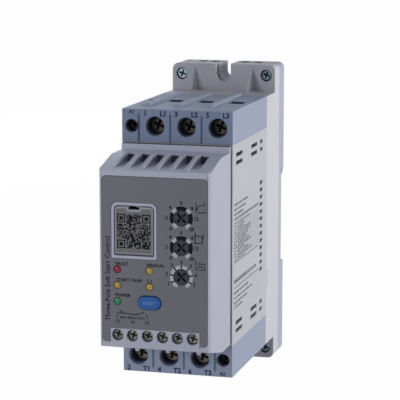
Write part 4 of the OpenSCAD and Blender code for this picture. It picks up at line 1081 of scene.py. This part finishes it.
@dataclass
class ClipSpring:
    """Coil spring under the rail clip, wound at its full length; the real one shortens as the clip slides down."""

    coil_d: float = 2.6
    wire_d: float = 0.45
    wire_sides: int = 10
    turns: int = 6
    turn_steps: int = 24
    smooth_deg: float = 50.0
    stroke: float = 4.0

    def build(self, paintbox: Paintbox) -> None:
        """Wind the coil, in steel of the paintbox, and set it between its peg and the clip."""
        low, high = (Vector(corner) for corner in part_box("clip_spring"))
        foot = Vector(((low.x + high.x) / 2, (low.y + high.y) / 2, low.z))
        length = high.z - low.z
        coil = self._wind(length)
        coil.location = foot + Vector((0.0, 0.0, self.wire_d / 2 * MM))
        settle()
        coil.data.materials.append(paintbox.material(SPRING))
        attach(coil, "body")
        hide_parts("clip_spring")
        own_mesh(coil)
        LOG.info("%s: %d faces", coil.name, len(coil.data.polygons))

    def _wind(self, length: float) -> Piece:
        """Wind the wire about the vertical axis.

        Args:
            length: Length of the spring, in metres.

        Returns:
            The coil's object, selected alone.
        """
        bpy.ops.object.select_all(action="DESELECT")
        bpy.ops.mesh.primitive_circle_add(
            vertices=self.wire_sides,
            radius=self.wire_d / 2 * MM,
            location=((self.coil_d - self.wire_d) / 2 * MM, 0.0, 0.0),
            rotation=(math.radians(90), 0.0, 0.0),
        )
        coil = bpy.context.object
        coil.name = "clip_coil"
        coil.data.name = "clip_coil"
        settle()
        wind = coil.modifiers.new("wind", "SCREW")
        wind.axis = "Z"
        wind.steps = self.turn_steps
        wind.render_steps = self.turn_steps
        wind.iterations = self.turns
        wind.screw_offset = (length - self.wire_d * MM) / self.turns
        bpy.ops.object.modifier_apply(modifier=wind.name)
        bpy.ops.object.mode_set(mode="EDIT")
        close_ends(self.wire_sides + 2)
        bpy.ops.object.shade_smooth_by_angle(angle=math.radians(self.smooth_deg))
        return coil


@dataclass(frozen=True)
class SoftBox:
    """A large soft lamp, at a level of one where it lights a facing surface as its colour is written."""

    name: str
    away: Triple
    level: float
    size: float
    reach: float = 0.9

    def hang(self, target: Vector) -> None:
        """Hang the lamp so that it looks at a point."""
        lamp = bpy.data.lights.new(self.name, "AREA")
        lamp.shape = "SQUARE"
        lamp.size = self.size
        lamp.energy = self.level * (math.pi * self.reach) ** 2
        box = bpy.data.objects.new(self.name, lamp)
        bpy.context.scene.collection.objects.link(box)
        away = Vector(self.away).normalized()
        box.location = target + away * self.reach
        box.rotation_euler = (-away).to_track_quat("-Z", "Y").to_euler()


@dataclass
class Studio:
    """Floor, lights and camera."""

    target: Triple = (0.0, -0.06, 0.0)
    floor_z: float = -0.0627
    floor_size: float = 6.0
    paper: float = 0.85
    paper_rough: float = 0.9
    paper_shown: float = 0.98
    lamps: tuple[SoftBox, ...] = (
        SoftBox("key", (1.0, -0.04, 0.12), 0.77, 0.46),
        SoftBox("fill", (-0.45, -0.8, 0.12), 0.32, 0.34),
        SoftBox("back", (-0.6, 0.78, 0.12), 0.6, 0.6),
    )
    ambient: float = 0.12
    camera_mm: Triple = (199.0, -776.4, 137.9)
    azimuth_deg: float = 15.42
    elevation_deg: float = 9.55
    lens_mm: float = 166.46
    sensor_mm: float = 36.0
    clip_end: float = 20.0

    def build(self) -> None:
        """Build the whole studio."""
        self._world()
        self._floor()
        for lamp in self.lamps:
            lamp.hang(Vector(self.target))
        self._camera()
        bpy.context.scene.view_settings.view_transform = "Standard"

    @staticmethod
    def _show_white(tree: Tree, plain: Node, white: Node, share: float) -> Node:
        """Show white to the rays that see a background: straight, in a reflection or through a lens.

        Args:
            tree: The node tree.
            plain: Shader for all other rays.
            white: White shader.
            share: Share of the white shader for these rays.

        Returns:
            The mixed shader.
        """
        path = add_node(tree, "LightPath").outputs
        seen = path["Is Camera Ray"]
        for name in ("Is Glossy Ray", "Is Transmission Ray"):
            seen = reckon(tree, "MAXIMUM", seen, path[name])
        parts = {0: reckon(tree, "MULTIPLY", seen, share), 1: plain.outputs[0], 2: white.outputs[0]}
        return add_node(tree, "MixShader", parts)

    def _world(self) -> None:
        """Light the room evenly and show it white."""
        world = bpy.data.worlds.new("studio_world")
        world.use_nodes = True
        tree = world.node_tree
        soft = tree.nodes["Background"]
        feed(tree, soft, {"Color": WHITE, "Strength": self.ambient})
        white = add_node(tree, "Background", {"Color": WHITE, "Strength": 1.0})
        mix = self._show_white(tree, soft, white, 1.0)
        feed(tree, tree.nodes["World Output"], {"Surface": mix.outputs[0]})
        bpy.context.scene.world = world

    def _floor(self) -> None:
        """Lay a pale floor that keeps a soft shadow."""
        bpy.ops.object.select_all(action="DESELECT")
        bpy.ops.mesh.primitive_plane_add(size=self.floor_size, location=(0.0, 0.0, self.floor_z))
        floor = bpy.context.object
        floor.name = "studio_floor"
        material = bpy.data.materials.new("studio_paper")
        material.use_nodes = True
        tree = material.node_tree
        paper = tree.nodes["Principled BSDF"]
        feed(tree, paper, {"Base Color": (*[self.paper] * 3, 1.0), "Roughness": self.paper_rough})
        white = add_node(tree, "Emission", {"Color": WHITE, "Strength": 1.0})
        mix = self._show_white(tree, paper, white, self.paper_shown)
        feed(tree, tree.nodes["Material Output"], {"Surface": mix.outputs[0]})
        floor.data.materials.append(material)

    def _camera(self) -> None:
        """Stand the camera where the photograph was taken."""
        data = bpy.data.cameras.new("photo_camera")
        data.lens = self.lens_mm
        data.sensor_width = self.sensor_mm
        data.clip_end = self.clip_end
        camera = bpy.data.objects.new("photo_camera", data)
        bpy.context.scene.collection.objects.link(camera)
        camera.location = Vector(self.camera_mm) * MM
        turn, tilt = math.radians(self.azimuth_deg), math.radians(self.elevation_deg)
        ahead = Vector((-math.sin(turn) * math.cos(tilt), math.cos(turn) * math.cos(tilt), -math.sin(tilt)))
        camera.rotation_euler = ahead.to_track_quat("-Z", "Y").to_euler()
        bpy.context.scene.camera = camera


def dress_nodes(paintbox: Paintbox) -> None:
    """Give every CAD node its finish from the paintbox, and its soft edges."""
    wardrobe = {name: (finish, edge_mm) for finish, edge_mm, *names in DRESSINGS for name in names}
    for name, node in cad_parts.items():
        finish, edge_mm = wardrobe[name]
        material = paintbox.material(finish)
        for place in node.material_slots:
            place.material = material
        if edge_mm:
            SoftEdges(edge_mm).apply(node)
        LOG.info("%s: %s", name, material.name)


def main() -> None:
    """Build the looks in order."""
    logging.basicConfig(level=logging.INFO, format="%(name)s %(message)s")
    paintbox = Paintbox()
    Studio().build()
    dress_nodes(paintbox)
    for piece in (PanelPrint(), LidFilm(), ButtonWord(), LINE_MARKS, LOAD_MARKS, SidePrint(), ClipSpring()):
        piece.build(paintbox)


if __name__ == "__main__":
    main()
